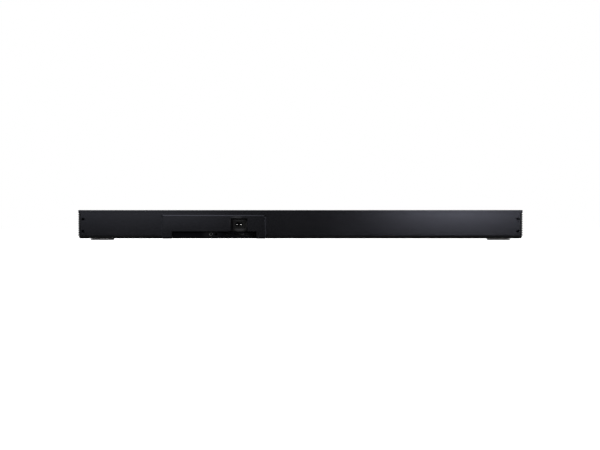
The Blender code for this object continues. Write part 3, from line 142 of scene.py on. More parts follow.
def bar_outline(inset, rear):
    """The bar seen from above, drawn in from the tips of its ribs, with its straight back at rear."""
    right, left = front_corner(inset, 1), front_corner(inset, -1)
    return right + [(HALF - inset, rear), (-HALF + inset, rear)] + left[::-1]


def oval_ring(x, z, length, height, y, steps=48):
    """A ring around the Y direction: a circle, or two half circles joined by straight runs."""
    radius, run = height / 2, (length - height) / 2
    ring = []
    for k in range(steps):
        angle = (k + 0.5) * 2 * math.pi / steps
        side = math.copysign(run, math.cos(angle))
        ring.append((x + side + radius * math.cos(angle), y, z + radius * math.sin(angle)))
    return ring


print("points around the bar:", len(bar_outline(0, REAR)))


# %% Solids
def extruded(outline, rise):
    """A flat outline, pulled out along a vector."""
    shape = bmesh.new()
    face = shape.faces.new([shape.verts.new(point) for point in outline])
    made = bmesh.ops.extrude_face_region(shape, geom=[face])["geom"]
    top = [item for item in made if isinstance(item, bmesh.types.BMVert)]
    bmesh.ops.translate(shape, verts=top, vec=rise)
    return shape


def block(x0, x1, y0, y1, z0, z1):
    return extruded([(x0, y0, z0), (x1, y0, z0), (x1, y1, z0), (x0, y1, z0)], (0, 0, z1 - z0))


def extruded_up(outline, z0, z1):
    return extruded([(x, y, z0) for x, y in outline], (0, 0, z1 - z0))


def extruded_back(outline, y0, y1):
    return extruded([(x, y0, z) for x, z in outline], (0, y1 - y0, 0))


def lofted(rings, closed=False):
    """A skin over rings of equally many points, capped at both ends unless the rings close up."""
    shape = bmesh.new()
    loops = [[shape.verts.new(point) for point in ring] for ring in rings]
    if not closed:
        shape.faces.new(loops[0])
        shape.faces.new(loops[-1])
    following = loops[1:] + loops[:1] if closed else loops[1:]
    for low, high in zip(loops, following):
        for k in range(len(low)):
            shape.faces.new((low[k - 1], low[k], high[k], high[k - 1]))
    return shape


def stacked(sides, radius, levels, shrink=0.0, least=0.0, upright=False, steps=6):
    """Rings of one rounded rectangle (u0, u1, v0, v1), drawn in by an inset at each (level, inset).

    The rings lie level, one above another, or stand upright, one behind another."""
    u0, u1, v0, v1 = sides
    rings = []
    for level, inset in levels:
        corner = max(least, radius - shrink * inset)
        outline = rounded_rectangle(u0 + inset, u1 - inset, v0 + inset, v1 - inset, corner, steps)
        rings.append([(u, level, v) if upright else (u, v, level) for u, v in outline])
    return rings


def turned(x, z, profile, closed=False, steps=32):
    """A profile of (radius, y) spun about a line along Y."""
    shape = bmesh.new()
    line = [(x + radius, y, z) for radius, y in profile]
    if not closed:
        line = [(x, profile[0][1], z)] + line + [(x, profile[-1][1], z)]
    verts = [shape.verts.new(point) for point in line]
    edges = [shape.edges.new(pair) for pair in zip(verts, verts[1:])]
    if closed:
        edges.append(shape.edges.new((verts[-1], verts[0])))
    about = {"cent": (x, 0, z), "axis": (0, 1, 0), "angle": 2 * math.pi, "steps": steps}
    bmesh.ops.spin(shape, geom=verts + edges, **about)
    bmesh.ops.remove_doubles(shape, verts=shape.verts, dist=0.001)
    return shape


def hole(x, z, radius, y0, y1, steps=32):
    return turned(x, z, ((radius, y0), (radius, y1)), steps=steps)


def together(*shapes):
    """Several shapes in one mesh."""
    whole = shapes[0]
    for shape in shapes[1:]:
        mesh = bpy.data.meshes.new("part")
        shape.to_mesh(mesh)
        shape.free()
        whole.from_mesh(mesh)
        bpy.data.meshes.remove(mesh)
    return whole


print("shape tools ready")


# %% Objects, cuts and rounded edges
def object_of(name, shape, material=None):
    """An object at the origin that holds this shape in metres, with its faces pointing out."""
    bmesh.ops.scale(shape, verts=shape.verts, vec=(MM, MM, MM))
    bmesh.ops.recalc_face_normals(shape, faces=shape.faces)
    mesh = bpy.data.meshes.new(name)
    shape.to_mesh(mesh)
    shape.free()
    if material:
        mesh.materials.append(material)
    obj = bpy.data.objects.new(name, mesh)
    bpy.context.scene.collection.objects.link(obj)
    return obj


def settle(obj):
    """Turns an object with modifiers into one plain mesh."""
    graph = bpy.context.evaluated_depsgraph_get()
    mesh = bpy.data.meshes.new_from_object(obj.evaluated_get(graph))
    obj.modifiers.clear()
    obj.data = mesh
    return obj


def smoothed(obj, sharp=40):
    """Smooth shading that breaks at sharp edges and keeps the large faces flat."""
    obj.data.shade_smooth()
    obj.data.set_sharp_from_angle(angle=math.radians(sharp))
    even = obj.modifiers.new("flat faces", "WEIGHTED_NORMAL")
    even.keep_sharp = True
    return settle(obj)


def combine(obj, operation, shapes):
    """Joins shapes on to an object, or cuts them out of it."""
    tools = []
    for shape in shapes:
        tool = object_of("tool", shape, obj.data.materials[0] if obj.data.materials else None)
        modifier = obj.modifiers.new("cut", "BOOLEAN")
        modifier.operation = operation
        modifier.solver = "EXACT"
        modifier.object = tool
        tools.append(tool)
    settle(obj)
    for tool in tools:
        bpy.data.objects.remove(tool)
    return obj


def eased(obj, radius, segments=2, sharp=32):
    """A fine round on every edge that turns by more than the sharp angle, in degrees."""
    bevel = obj.modifiers.new("edges", "BEVEL")
    bevel.width = radius * MM
    bevel.segments = segments
    bevel.limit_method = "ANGLE"
    bevel.angle_limit = math.radians(sharp)
    return settle(obj)


def crowned(obj, low, high, face, depth=0.085, steps=12):
    """Bends a rear face between two heights into a very shallow crown, as a moulding cools."""
    shape = bmesh.new()
    shape.from_mesh(obj.data)
    for level in range(1, steps):
        z = low + level * (high - low) / steps
        parts = shape.verts[:] + shape.edges[:] + shape.faces[:]
        bmesh.ops.bisect_plane(shape, geom=parts, dist=1e-7, plane_co=(0, 0, z * MM), plane_no=(0, 0, 1))
    for vert in shape.verts:
        if vert.co.y > (face - 0.3) * MM:
            share = 2 * (vert.co.z / MM - low) / (high - low) - 1
            vert.co.y -= depth * MM * share**2
    shape.to_mesh(obj.data)
    shape.free()
    return obj


def machined(name, shape, material, cuts=(), adds=(), ease=0.3, segments=2, sharp=32):
    """A solid with shapes joined on and cut out, eased edges and clean shading."""
    obj = object_of(name, shape, material)
    if adds:
        combine(obj, "UNION", adds)
    if cuts:
        combine(obj, "DIFFERENCE", cuts)
    if ease:
        eased(obj, ease, segments, sharp)
    return smoothed(obj)


def place(obj, body, slot, *nodes):
    """The finished piece rides on its body and stands for its CAD nodes. Its slot is not used."""
    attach(obj, body)
    if nodes:
        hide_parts(*nodes)
    print(f"{obj.name}: {len(obj.data.polygons)} faces, stands for {', '.join(nodes) or 'no node'}")
    return obj


# %% [markdown]
# ## Finishes
# Black plastic is never simply black. A moulded face has a fine spark-eroded grain, its gloss drifts
# a little from place to place, and its dark tone is not quite even. An image could show that, but it
# would stretch on some pieces. So each finish here is a Principled shader whose colour, roughness
# and bump come from noise read in Object coordinates, where a grain keeps its size on a large panel
# and on a small key. A value that is the same all over is set on the shader's own socket.


# %% The finish helper
class Finish:
    """A Principled material, and the few nodes that give it grain."""

    def __init__(self, name, color, roughness, metallic=0.0, **sockets):
        self.material = bpy.data.materials.new(name)
        self.material.use_nodes = True
        self.tree = self.material.node_tree
        self.shader = self.tree.nodes["Principled BSDF"]
        self.set(self.shader, "Base Color", (*color, 1.0))
        self.set(self.shader, "Roughness", roughness)
        self.set(self.shader, "Metallic", metallic)
        for socket, value in sockets.items():
            self.set(self.shader, socket.replace("_", " "), value)
        self.where = self.tree.nodes.new("ShaderNodeTexCoord").outputs["Object"]

    def set(self, node, socket, value):
        node.inputs[socket].default_value = value

    def link(self, source, node, socket):
        self.tree.links.new(source, node.inputs[socket])

    def stretched(self, scale):
        """Coordinates with each axis scaled."""
        mapping = self.tree.nodes.new("ShaderNodeMapping")
        self.link(self.where, mapping, "Vector")
        self.set(mapping, "Scale", scale)
        return mapping.outputs["Vector"]

    def noise(self, scale, detail=3.0, roughness=0.5, where=None):
        node = self.tree.nodes.new("ShaderNodeTexNoise")
        self.link(where or self.where, node, "Vector")
        self.set(node, "Scale", scale)
        self.set(node, "Detail", detail)
        self.set(node, "Roughness", roughness)
        return node.outputs["Fac"]

    def spread(self, source, low, high, start=0.3, end=0.7):
        """Maps a value that runs from start to end on to low to high."""
        node = self.tree.nodes.new("ShaderNodeMapRange")
        self.link(source, node, "Value")
        for socket, value in zip(("From Min", "From Max", "To Min", "To Max"), (start, end, low, high)):
            self.set(node, socket, value)
        return node.outputs["Result"]

    def math(self, operation, *values):
        node = self.tree.nodes.new("ShaderNodeMath")
        node.operation = operation
        for socket, value in enumerate(values):
            if isinstance(value, (int, float)):
                self.set(node, socket, value)
            else:
                self.link(value, node, socket)
        return node.outputs[0]

    def colors(self, source, *stops):
        """A colour ramp of (position, colour) stops, wired to the base colour."""
        ramp = self.tree.nodes.new("ShaderNodeValToRGB")
        self.link(source, ramp, "Fac")
        elements = ramp.color_ramp.elements
        while len(elements) < len(stops):
            elements.new(0.5)
        for element, (position, color) in zip(elements, stops):
            element.position = position
            element.color = (*color, 1.0)
        self.link(ramp.outputs["Color"], self.shader, "Base Color")

    def rough(self, source):
        self.link(source, self.shader, "Roughness")

    def bump(self, height, depth):
        node = self.tree.nodes.new("ShaderNodeBump")
        self.link(height, node, "Height")
        self.set(node, "Distance", depth * MM)
        self.link(node.outputs["Normal"], self.shader, "Normal")


def grained(name, dark, light, roughness, grain, depth, drift=0.04, cloud=9.0, **sockets):
    """A finish whose tone and gloss drift, with a fine grain of that scale and depth."""
    finish = Finish(name, dark, roughness, **sockets)
    slow = finish.noise(cloud, detail=4.0)
    finish.colors(slow, (0.35, dark), (0.65, light))
    fine = finish.noise(grain, detail=2.0, roughness=0.6)
    uneven = finish.spread(slow, roughness - drift, roughness + drift)
    finish.rough(finish.math("ADD", uneven, finish.spread(fine, -0.03, 0.03)))
    finish.bump(fine, depth)
    return finish.material


print("finish helper ready")

# %% Moulded plastics and rubber
DIM = "Specular_IOR_Level"
BLACKS = {  # dark tone, light tone, roughness, scale of the grain, its depth, other settings
    "satin_shell": ((0.0040, 0.0041, 0.0046), (0.0050, 0.0051, 0.0057), 0.195, 1500, 0.002, {"drift": 0.012}),
    "matt_tray": ((0.0050, 0.0050, 0.0054), (0.0068, 0.0068, 0.0072), 0.58, 1100, 0.02, {}),
    "matt_ribs": ((0.0056, 0.0056, 0.0062), (0.0074, 0.0074, 0.0080), 0.48, 1400, 0.012, {}),
    "bay_liner": ((0.0040, 0.0040, 0.0043), (0.0055, 0.0055, 0.0058), 0.50, 1200, 0.015, {DIM: 0.15}),
    "socket_bodies": ((0.0045, 0.0045, 0.0045), (0.006, 0.006, 0.006), 0.42, 1600, 0.008, {DIM: 0.2}),
    "key_caps": ((0.0090, 0.0090, 0.0100), (0.011, 0.011, 0.012), 0.32, 1800, 0.004, {}),
    "inner_moulding": ((0.016, 0.016, 0.0165), (0.021, 0.021, 0.0215), 0.55, 900, 0.02, {}),
    "inlet_body": ((0.0028, 0.0028, 0.0028), (0.0038, 0.0038, 0.0038), 0.50, 1600, 0.008, {DIM: 0.03}),
    "skid_plastic": ((0.0030, 0.0030, 0.0032), (0.0042, 0.0042, 0.0044), 0.66, 1100, 0.015, {DIM: 0.08}),
    "foot_rubber": ((0.0045, 0.0045, 0.0045), (0.0070, 0.0070, 0.0070), 0.82, 1300, 0.03, {DIM: 0.1}),
    "surround_rubber": ((0.010, 0.010, 0.010), (0.015, 0.015, 0.015), 0.60, 1500, 0.01, {}),
    "cone_polymer": ((0.026, 0.026, 0.027), (0.036, 0.036, 0.037), 0.50, 700, 0.03, {}),
    "key_mark": ((0.30, 0.30, 0.31), (0.36, 0.36, 0.37), 0.55, 1500, 0.003, {}),
}
made = {name: grained(name, *values[:5], **values[5]) for name, values in BLACKS.items()}
SHELL, TRAY, RIBS, LINER, SOCKETS, KEYS, INNER = list(made.values())[:7]
INLET_BODY, SKID, PAD, ROLL, CONE, MARK = list(made.values())[7:]
print("plastics:", len(bpy.data.materials))


# %% Metals, wiring and the lens
def metal(name, color, roughness, brushing, depth=0.002):
    """A metal whose fine scratches run one way, given as the stretch of each axis."""
    finish = Finish(name, color, roughness, metallic=1.0)
    lines = finish.noise(1.0, detail=4.0, where=finish.stretched(brushing))
    finish.rough(finish.spread(lines, roughness - 0.06, roughness + 0.08))
    worn = finish.noise(160.0, detail=5.0)
    finish.colors(worn, (0.3, tuple(value * 0.86 for value in color)), (0.7, color))
    finish.bump(lines, depth)
    return finish.material


BLACK_STEEL = metal("black_steel", (0.030, 0.030, 0.032), 0.42, (900, 120, 900))
PIN_METAL = metal("pin_nickel", (0.78, 0.77, 0.74), 0.50, (700, 90, 1400))
DARK_METAL = metal("dark_nickel", (0.085, 0.088, 0.080), 0.50, (900, 120, 900))
MAGNET = metal("zinc_magnet", (0.27, 0.27, 0.28), 0.36, (300, 1400, 300))
ALUMINIUM = metal("fin_aluminium", (0.46, 0.46, 0.47), 0.38, (1800, 60, 400))
JACKET = grained("cable_jacket", (0.014, 0.014, 0.014), (0.022, 0.022, 0.022), 0.50, 900, 0.02)
BOARD = grained("circuit_board", (0.012, 0.075, 0.028), (0.020, 0.125, 0.048), 0.38, 420, 0.02, cloud=240)
TAPE = grained("winding_tape", (0.48, 0.32, 0.045), (0.60, 0.42, 0.075), 0.42, 600, 0.03, cloud=90)
LENS = grained(
    "smoked_lens", (0.06, 0.06, 0.065), (0.08, 0.08, 0.085), 0.12, 900, 0.002, Transmission_Weight=0.6
)
print("finishes:", len(bpy.data.materials))

# %% [markdown]
# ## Trees that repeat a shape
# Ribs, screws, contacts and grip bars are one shape placed many times. They could be copied by a
# Python loop, but Geometry Nodes keeps the rule in one place: change a pitch and everything follows.
# Each tree below is wired by a short script, has named inputs for its sizes, and ends in Realize
# Instances and Set Material, so that what comes out is one plain mesh.


# %% A helper that wires a tree
class Tree:
    """A Geometry Nodes tree with named inputs."""

    KINDS = {
        "geometry": "NodeSocketGeometry",
        "length": "NodeSocketFloat",
        "count": "NodeSocketInt",
        "vector": "NodeSocketVector",
        "object": "NodeSocketObject",
        "material": "NodeSocketMaterial",
    }

    def __init__(self, name, **inputs):
        self.group = bpy.data.node_groups.new(name, "GeometryNodeTree")
        self.sockets = {}
        for socket, kind in {"Geometry": "geometry", **inputs}.items():
            made = self.group.interface.new_socket(socket, in_out="INPUT", socket_type=self.KINDS[kind])
            self.sockets[socket] = made.identifier
        self.group.interface.new_socket("Geometry", in_out="OUTPUT", socket_type=self.KINDS["geometry"])
        self.given = self.group.nodes.new("NodeGroupInput")
        self.result = self.group.nodes.new("NodeGroupOutput")

    def node(self, kind, settings=(), output=0, **inputs):
        """Adds a node, fills its sockets with values or links, and returns its output."""
        made = self.group.nodes.new(kind)
        for setting, value in dict(settings).items():
            setattr(made, setting, value)
        for socket, value in inputs.items():
            target = made.inputs[socket.replace("_", " ")]
            if isinstance(value, bpy.types.NodeSocket):
                self.group.links.new(value, target)
            else:
                target.default_value = value
        return made.outputs[output]

    def end(self, geometry, smooth=False):
        """Realises the instances, sets the material and closes the tree."""
        real = self.node("GeometryNodeRealizeInstances", Geometry=geometry)
        shaded = self.node("GeometryNodeSetShadeSmooth", Geometry=real, Shade_Smooth=smooth)
        finished = self.node(
            "GeometryNodeSetMaterial", Geometry=shaded, Material=self.given.outputs["Material"]
        )
        self.group.links.new(finished, self.result.inputs["Geometry"])
        return self

    def run(self, obj, **values):
        """Gives an object this tree with its inputs filled in, and returns the plain mesh result."""
        modifier = obj.modifiers.new(self.group.name, "NODES")
        modifier.node_group = self.group
        for socket, value in values.items():
            modifier[self.sockets[socket]] = value
        settle(obj)
        obj.data.materials.clear()
        obj.data.materials.append(values["Material"])
        obj.data.polygons.foreach_set("material_index", [0] * len(obj.data.polygons))
        return obj


print("tree helper ready")

# %% [markdown]
# ## The ribbed grille
# The front and both ends are wrapped in level ribs, which turn the corners and stand in front of the
# cloth. A rib is a small rounded section that follows the bar's outline. Curve to Mesh sweeps that
# section along the outline once, and the sweep is then stacked at an even pitch. Sweeping beats
# extruding here, because the section keeps its round edges all the way around the corner.

# %% A tree that stacks swept ribs
RIB_HEIGHT = 2.6
RIB_DEPTH = 4.0
RIB_PITCH = 4.8
RIB_ROUND = 0.55
WEB_WIDTH = 4.0
WEB_DEPTH = 2.0
WEB_MARGIN = 0.5
FRONT_WEB_SPACING = 132.0
GRILLE_DEPTH = 4.4

rib_room = WALL_HIGH - WALL_LOW - RIB_HEIGHT
rib_spaces = round(rib_room / RIB_PITCH)
rib_step = rib_room / rib_spaces

ribs = Tree(
    "stacked_ribs",
    Depth="length",
    Height="length",
    Round="length",
    Pitch="vector",
    Count="count",
    Material="material",
)
given = ribs.given.outputs
path = ribs.node("GeometryNodeMeshToCurve", Mesh=given["Geometry"])
level = ribs.node("GeometryNodeSetCurveNormal", {"mode": "Z_UP"}, Curve=path)
section = ribs.node(
    "GeometryNodeCurvePrimitiveQuadrilateral", Width=given["Depth"], Height=given["Height"]
)
soft = ribs.node("GeometryNodeFilletCurve", {"mode": "POLY"}, Curve=section, Count=3, Radius=given["Round"])
swept = ribs.node("GeometryNodeCurveToMesh", Curve=level, Profile_Curve=soft, Fill_Caps=True)
levels = ribs.node("GeometryNodeMeshLine", Count=given["Count"], Offset=given["Pitch"])
ribs.end(ribs.node("GeometryNodeInstanceOnPoints", Points=levels, Instance=swept))
print("ribs:", rib_spaces + 1, "at a pitch of", round(rib_step, 3), "mm")


# %% Sweep the ribs
def polyline(name, points):
    """An object that is only a chain of edges, for a tree to follow."""
    mesh = bpy.data.meshes.new(name)
    chain = [(k, k + 1) for k in range(len(points) - 1)]
    mesh.from_pydata([[value * MM for value in point] for point in points], chain, [])
    obj = bpy.data.objects.new(name, mesh)
    bpy.context.scene.collection.objects.link(obj)
    return obj


def rib_stack(name, outline):
    """Ribs along an outline that runs through the middle of each rib's depth."""
    first = WALL_LOW + RIB_HEIGHT / 2
    return ribs.run(
        polyline(name, [(x, y, first) for x, y in outline]),
        Depth=RIB_DEPTH * MM,
        Height=RIB_HEIGHT * MM,
        Round=RIB_ROUND * MM,
        Pitch=(0, 0, rib_step * MM),
        Count=rib_spaces + 1,
        Material=RIBS,
    )


def even(low, high, spacing):
    """Places from low to high, no further apart than the spacing."""
    spaces = math.ceil((high - low) / spacing)
    return [low + i * (high - low) / spaces for i in range(spaces + 1)]


web_low = WALL_LOW + RIB_HEIGHT / 2
web_high = WALL_HIGH - RIB_HEIGHT / 2
grille_end = HALF - CORNER_RADIUS - GAP
grille_back = FRONT + GRILLE_DEPTH
front_ribs = rib_stack(
    "front_ribs", [(side * grille_end, FRONT + RIB_DEPTH / 2) for side in (-1, 1)]
)
web_reach = grille_end - WEB_WIDTH / 2 - WEB_MARGIN
front_webs = [
    block(x - WEB_WIDTH / 2, x + WEB_WIDTH / 2, grille_back - WEB_DEPTH, grille_back, web_low, web_high)
    for x in even(-web_reach, web_reach, FRONT_WEB_SPACING)
]
combine(front_ribs, "UNION", [together(*front_webs)])
place(smoothed(front_ribs), "casing", "grille_plastic", "front_grille")

# %% The ribbed ends
END_WEB_DEPTH = 3.0
END_WEB_SPACING = 60.0
CORNER_WEBS = ((6, 20), (70, 84))  # degrees around the corner
POST_WIDTH = 12.0
POST_DEPTH = 8.3
POST_SHIELD = 2.3  # carries the post on to the speaker box, so that no light passes between them
POST_BITE = 0.8  # how far the post runs into the ribs
POST_CLEAR = 0.05
SCREW_HOLE = 1.6
SCREW_HOLE_DEPTH = 7.5
SCREWS = ("left_low", "left_high", "right_low", "right_high")


def screw_place(name):
    x0, x1, _, _, z0, z1 = span(f"rear_screw_{name}")
    return (x0 + x1) / 2, (z0 + z1) / 2


for side_name, side in (("left", -1), ("right", 1)):
    inset = RIB_DEPTH / 2
    outline = front_corner(inset, side) + [(side * (HALF - inset), REAR)]
    end_ribs = rib_stack(f"end_ribs_{side_name}", outline)
    outer = GRILLE_DEPTH - END_WEB_DEPTH
    shapes = []
    for start, end in CORNER_WEBS:
        strip = front_corner(outer, side, 4, start, end)
        strip += front_corner(GRILLE_DEPTH, side, 4, start, end)[::-1]
        shapes.append(extruded_up(strip, web_low, web_high))
    x0, x1 = sorted((side * (HALF - GRILLE_DEPTH), side * (HALF - outer)))
    first_web = FRONT + CORNER_RADIUS + END_WEB_SPACING
    for y in even(first_web, REAR - WEB_WIDTH / 2 - WEB_MARGIN, END_WEB_SPACING):
        shapes.append(block(x0, x1, y - WEB_WIDTH / 2, y + WEB_WIDTH / 2, web_low, web_high))
    grille_inside = HALF - GRILLE_DEPTH
    x0, x1 = sorted((side * (grille_inside - POST_WIDTH - POST_SHIELD), side * (grille_inside + POST_BITE)))
    rear = PANEL_INSIDE - GAP
    post = block(x0, x1, rear - POST_DEPTH, rear, TRAY_TOP + POST_CLEAR, LID_UNDER - POST_CLEAR)
    combine(end_ribs, "UNION", [together(*shapes)])
    combine(end_ribs, "UNION", [post])
    screws = [screw_place(f"{side_name}_{level}") for level in ("low", "high")]
    bores = [hole(x, z, SCREW_HOLE, rear - SCREW_HOLE_DEPTH, rear + 2, 16) for x, z in screws]
    combine(end_ribs, "DIFFERENCE", bores)
    place(smoothed(end_ribs), "casing", "grille_plastic", f"end_grille_{side_name}")

# %% [markdown]
# ## The acoustic cloth
# Behind the ribs a thin black knit keeps dust out and lets sound through. It is one strip, stretched
# tight around the front from one end to the other. A strip laid along the outline is exact and
# light, and Solidify gives it its thickness. Its own UV map runs along the strip in millimetres,
# so the knit follows the cloth around the corners without sliding.

# %% Knit finish
STITCH = 0.9


def knit():
    finish = Finish("knit_cloth", (0.006, 0.006, 0.006), 0.95, Sheen_Weight=0.25, Sheen_Roughness=0.5)
    chart = finish.tree.nodes.new("ShaderNodeUVMap")
    chart.uv_map = "strip"
    split = finish.tree.nodes.new("ShaderNodeSeparateXYZ")
    finish.link(chart.outputs["UV"], split, "Vector")
    turns = 2 * math.pi / STITCH
    across = finish.math("SINE", finish.math("MULTIPLY", split.outputs["X"], turns))
    along = finish.math("SINE", finish.math("MULTIPLY", split.outputs["Y"], turns * 1.3))
    loops = finish.math("MULTIPLY_ADD", finish.math("MULTIPLY", across, along), 0.5, 0.5)
    fuzz = finish.noise(2600.0, detail=2.0)
    height = finish.math("MULTIPLY_ADD", fuzz, 0.25, loops)
    finish.colors(loops, (0.15, (0.0022, 0.0022, 0.0023)), (0.85, (0.0105, 0.0105, 0.0112)))
    finish.bump(height, 0.12)
    return finish.material


CLOTH = knit()

# %% Lay the strip
_, CLOTH_X1, _, CLOTH_REAR, CLOTH_LOW, CLOTH_HIGH = span("grille_cloth")
cloth_inset = HALF - CLOTH_X1
CLOTH_THICKNESS = 0.6
CLOTH_ROWS = 6
CLOTH_SPACING = 16.0


def cloth_path():
    """Points along the strip, seen from above, from one end post round the front to the other."""
    corner = front_corner(cloth_inset, 1)
    end = (HALF - cloth_inset, CLOTH_REAR)
    side = [(end[0], end[1] + k * (corner[-1][1] - end[1]) / 6) for k in range(6)]
    right = side + corner[::-1]
    middle = [(x, right[-1][1]) for x in even(-right[-1][0], right[-1][0], CLOTH_SPACING)][1:-1][::-1]
    return right + middle + [(-x, y) for x, y in reversed(right)]


path = cloth_path()
along = [0.0]
for a, b in zip(path, path[1:]):
    along.append(along[-1] + math.dist(a, b))
shape = bmesh.new()
chart = shape.loops.layers.uv.new("strip")
rows = even(CLOTH_LOW, CLOTH_HIGH, (CLOTH_HIGH - CLOTH_LOW) / CLOTH_ROWS)
grid = [[shape.verts.new((x, y, z)) for z in rows] for x, y in path]
for i in range(len(path) - 1):
    for j in range(len(rows) - 1):
        face = shape.faces.new((grid[i][j], grid[i][j + 1], grid[i + 1][j + 1], grid[i + 1][j]))
        where = ((i, j), (i, j + 1), (i + 1, j + 1), (i + 1, j))
        for loop, (a, b) in zip(face.loops, where):
            loop[chart].uv = (along[a], rows[b])
cloth = object_of("acoustic_cloth", shape, CLOTH)
outward = cloth.data.polygons[len(cloth.data.polygons) // 2].normal.y < 0
thick = cloth.modifiers.new("thickness", "SOLIDIFY")
thick.thickness = CLOTH_THICKNESS * MM
thick.offset = -1.0 if outward else 1.0
settle(cloth)
cloth.data.shade_smooth()
place(cloth, "casing", "speaker_cloth", "grille_cloth")

# %% [markdown]
# ## Lid and tray
# The lid is a thin moulded plate that hangs over the ribs. Its outline is the whole bar's, and a soft
# round runs along its upper edge. The round could be a bevel, but a bevel would also eat into the
# key holes, so the lid is lofted from rings that step in along a quarter circle, and the key holes
# are cut afterwards. The tray below is the same idea with a sloped side.

# %% The lid
LID_SKIN = 2.4
LID_RIM = 9.0
LID_ROUND = 0.6
KEY_NAMES = ("power", "source", "volume_down", "volume_up")
KEY_ROUND = 2.5
KEY_LIP = 1.2
KEY_CHAMFER = 0.6


def ring_at(inset, rear, z):
    return [(x, y, z) for x, y in bar_outline(inset, rear)]


def key_span(name):
    """(x0, x1, y0, y1) of a key's cap, which is the CAD box without its holding lip."""
    x0, x1, y0, y1, _, _ = span(f"key_{name}")
    return x0 + KEY_LIP, x1 - KEY_LIP, y0 + KEY_LIP, y1 - KEY_LIP


rings = [ring_at(0.12, REAR - 0.12, LID_UNDER), ring_at(0, REAR, LID_UNDER + 0.12)]
for k in range(7):
    angle = math.radians(90 * k / 6)
    inset = LID_ROUND * (1 - math.cos(angle))
    rings.append(ring_at(inset, REAR - inset, LID_TOP - LID_ROUND * (1 - math.sin(angle))))
lid = object_of("lid", lofted(rings), SHELL)
under = extruded_up(bar_outline(LID_RIM, REAR - LID_RIM), LID_UNDER - 2, LID_TOP - LID_SKIN)
combine(lid, "DIFFERENCE", [under])
holes = []
for name in KEY_NAMES:
    rims = ((LID_UNDER - 2, -GAP), (LID_TOP - 0.25, -GAP), (LID_TOP + 0.05, -KEY_CHAMFER))
    holes.append(lofted(stacked(key_span(name), KEY_ROUND, rims, shrink=1.0)))
combine(lid, "DIFFERENCE", holes)
key_board = span("key_board")
KEY_ROW = (key_board[2] + key_board[3]) / 2
BOSS = 3.0
BOSS_SEAT = key_board[5] - 0.4 + GAP
boss_places = (key_board[0] + BOSS, key_board[1] - BOSS)
bosses = [extruded_up(circle(BOSS, 24, x, KEY_ROW), BOSS_SEAT, LID_TOP - LID_SKIN + 1) for x in boss_places]
print("bosses at", [round(x, 2) for x in boss_places])
combine(lid, "UNION", bosses)
place(smoothed(lid), "casing", "shell_plastic", "top_panel")

# %% The tray
TRAY_SLOPE = 2.2
TRAY_EDGE = 0.6
TRAY_RIM = 3.4
BOARD_POST = 3.0
BOARD_POST_INSET = 8.0
tray_inset = HALF - TRAY_HALF
rings = [
    ring_at(tray_inset + TRAY_SLOPE + 0.5, REAR - TRAY_SLOPE - 0.5, TRAY_UNDER),
    ring_at(tray_inset + TRAY_SLOPE, REAR - TRAY_SLOPE, TRAY_UNDER + 0.25),
    ring_at(tray_inset + 0.25, REAR - 0.25, TRAY_TOP - TRAY_EDGE - 0.3),
    ring_at(tray_inset, REAR, TRAY_TOP - TRAY_EDGE + 0.1),
    ring_at(tray_inset, REAR, TRAY_TOP - 0.2),
    ring_at(tray_inset + 0.2, REAR - 0.2, TRAY_TOP),
]
tray = object_of("base_tray", lofted(rings), TRAY)
notch = PAN_WALL + GAP
hollow = extruded_up(bar_outline(tray_inset + TRAY_RIM, REAR - TRAY_RIM - 2 * GAP), FLOOR, TRAY_TOP + 2)
opening = block(BAY_X0 - notch, BAY_X1 + notch, REAR - 2 * TRAY_RIM, REAR + 5, FLOOR, TRAY_TOP + 2)
combine(tray, "DIFFERENCE", [hollow, opening])
posts = []
for board in ("main_board", "power_board"):
    x0, x1, y0, y1, z0, _ = span(board)
    for x in (x0 + BOARD_POST_INSET, x1 - BOARD_POST_INSET):
        for y in (y0 + BOARD_POST_INSET, y1 - BOARD_POST_INSET):
            posts.append(extruded_up(circle(BOARD_POST, 24, x, y), FLOOR - 1, z0 - GAP))
combine(tray, "UNION", [together(*posts)])
place(smoothed(tray), "casing", "tray_plastic", "bottom_tray")

# %% [markdown]
# ## The rear panel
# The back is one flat satin panel. It is cut away around the socket bay and the mains pocket, and
# each corner has a sunk seat for a screw. A boolean cut keeps the panel one closed solid. The seats
# are turned profiles with a small step, so that the screw heads sit below the face.

# %% Cut the panel
SEAT_RADIUS = 3.4
SEAT_DEPTH = 1.6
SEAT_BORE = 1.9
pocket_x0 = INLET_X - POCKET_WIDTH / 2
pocket_x1 = INLET_X + POCKET_WIDTH / 2
around = PAN_WALL + GAP
through = (PANEL_INSIDE - 5, REAR + 5)
cuts = [
    block(BAY_X0 - around, BAY_X1 + around, *through, WALL_LOW - 5, BAY_TOP + around),
    block(pocket_x0 - around, pocket_x1 + around, *through, BAY_TOP - 1, POCKET_TOP + around),
]
for name in SCREWS:
    x, z = screw_place(name)
    profile = (
        (SEAT_BORE, PANEL_INSIDE - 2),
        (SEAT_BORE, REAR - SEAT_DEPTH),
        (SEAT_RADIUS, REAR - SEAT_DEPTH),
        (SEAT_RADIUS, REAR - 0.35),
        (SEAT_RADIUS + 0.35, REAR),
        (SEAT_RADIUS + 0.6, REAR + 1),
    )
    cuts.append(turned(x, z, profile, steps=40))
plate = block(-PANEL_HALF, PANEL_HALF, PANEL_INSIDE, REAR, WALL_LOW, WALL_HIGH)
panel = crowned(object_of("rear_panel", plate, SHELL), WALL_LOW, WALL_HIGH, REAR)
combine(panel, "DIFFERENCE", cuts)
eased(panel, 0.2)
place(smoothed(panel), "casing", "shell_plastic", "rear_cover")

# %% [markdown]
# ## Rear screws
# Four black pan-head screws hold the panel. One screw is turned from its profile, and its cross slot
# is cut out. The tree then sets it at four points and turns each by its own angle, from a fixed seed,
# because no two screws stop at the same turn.

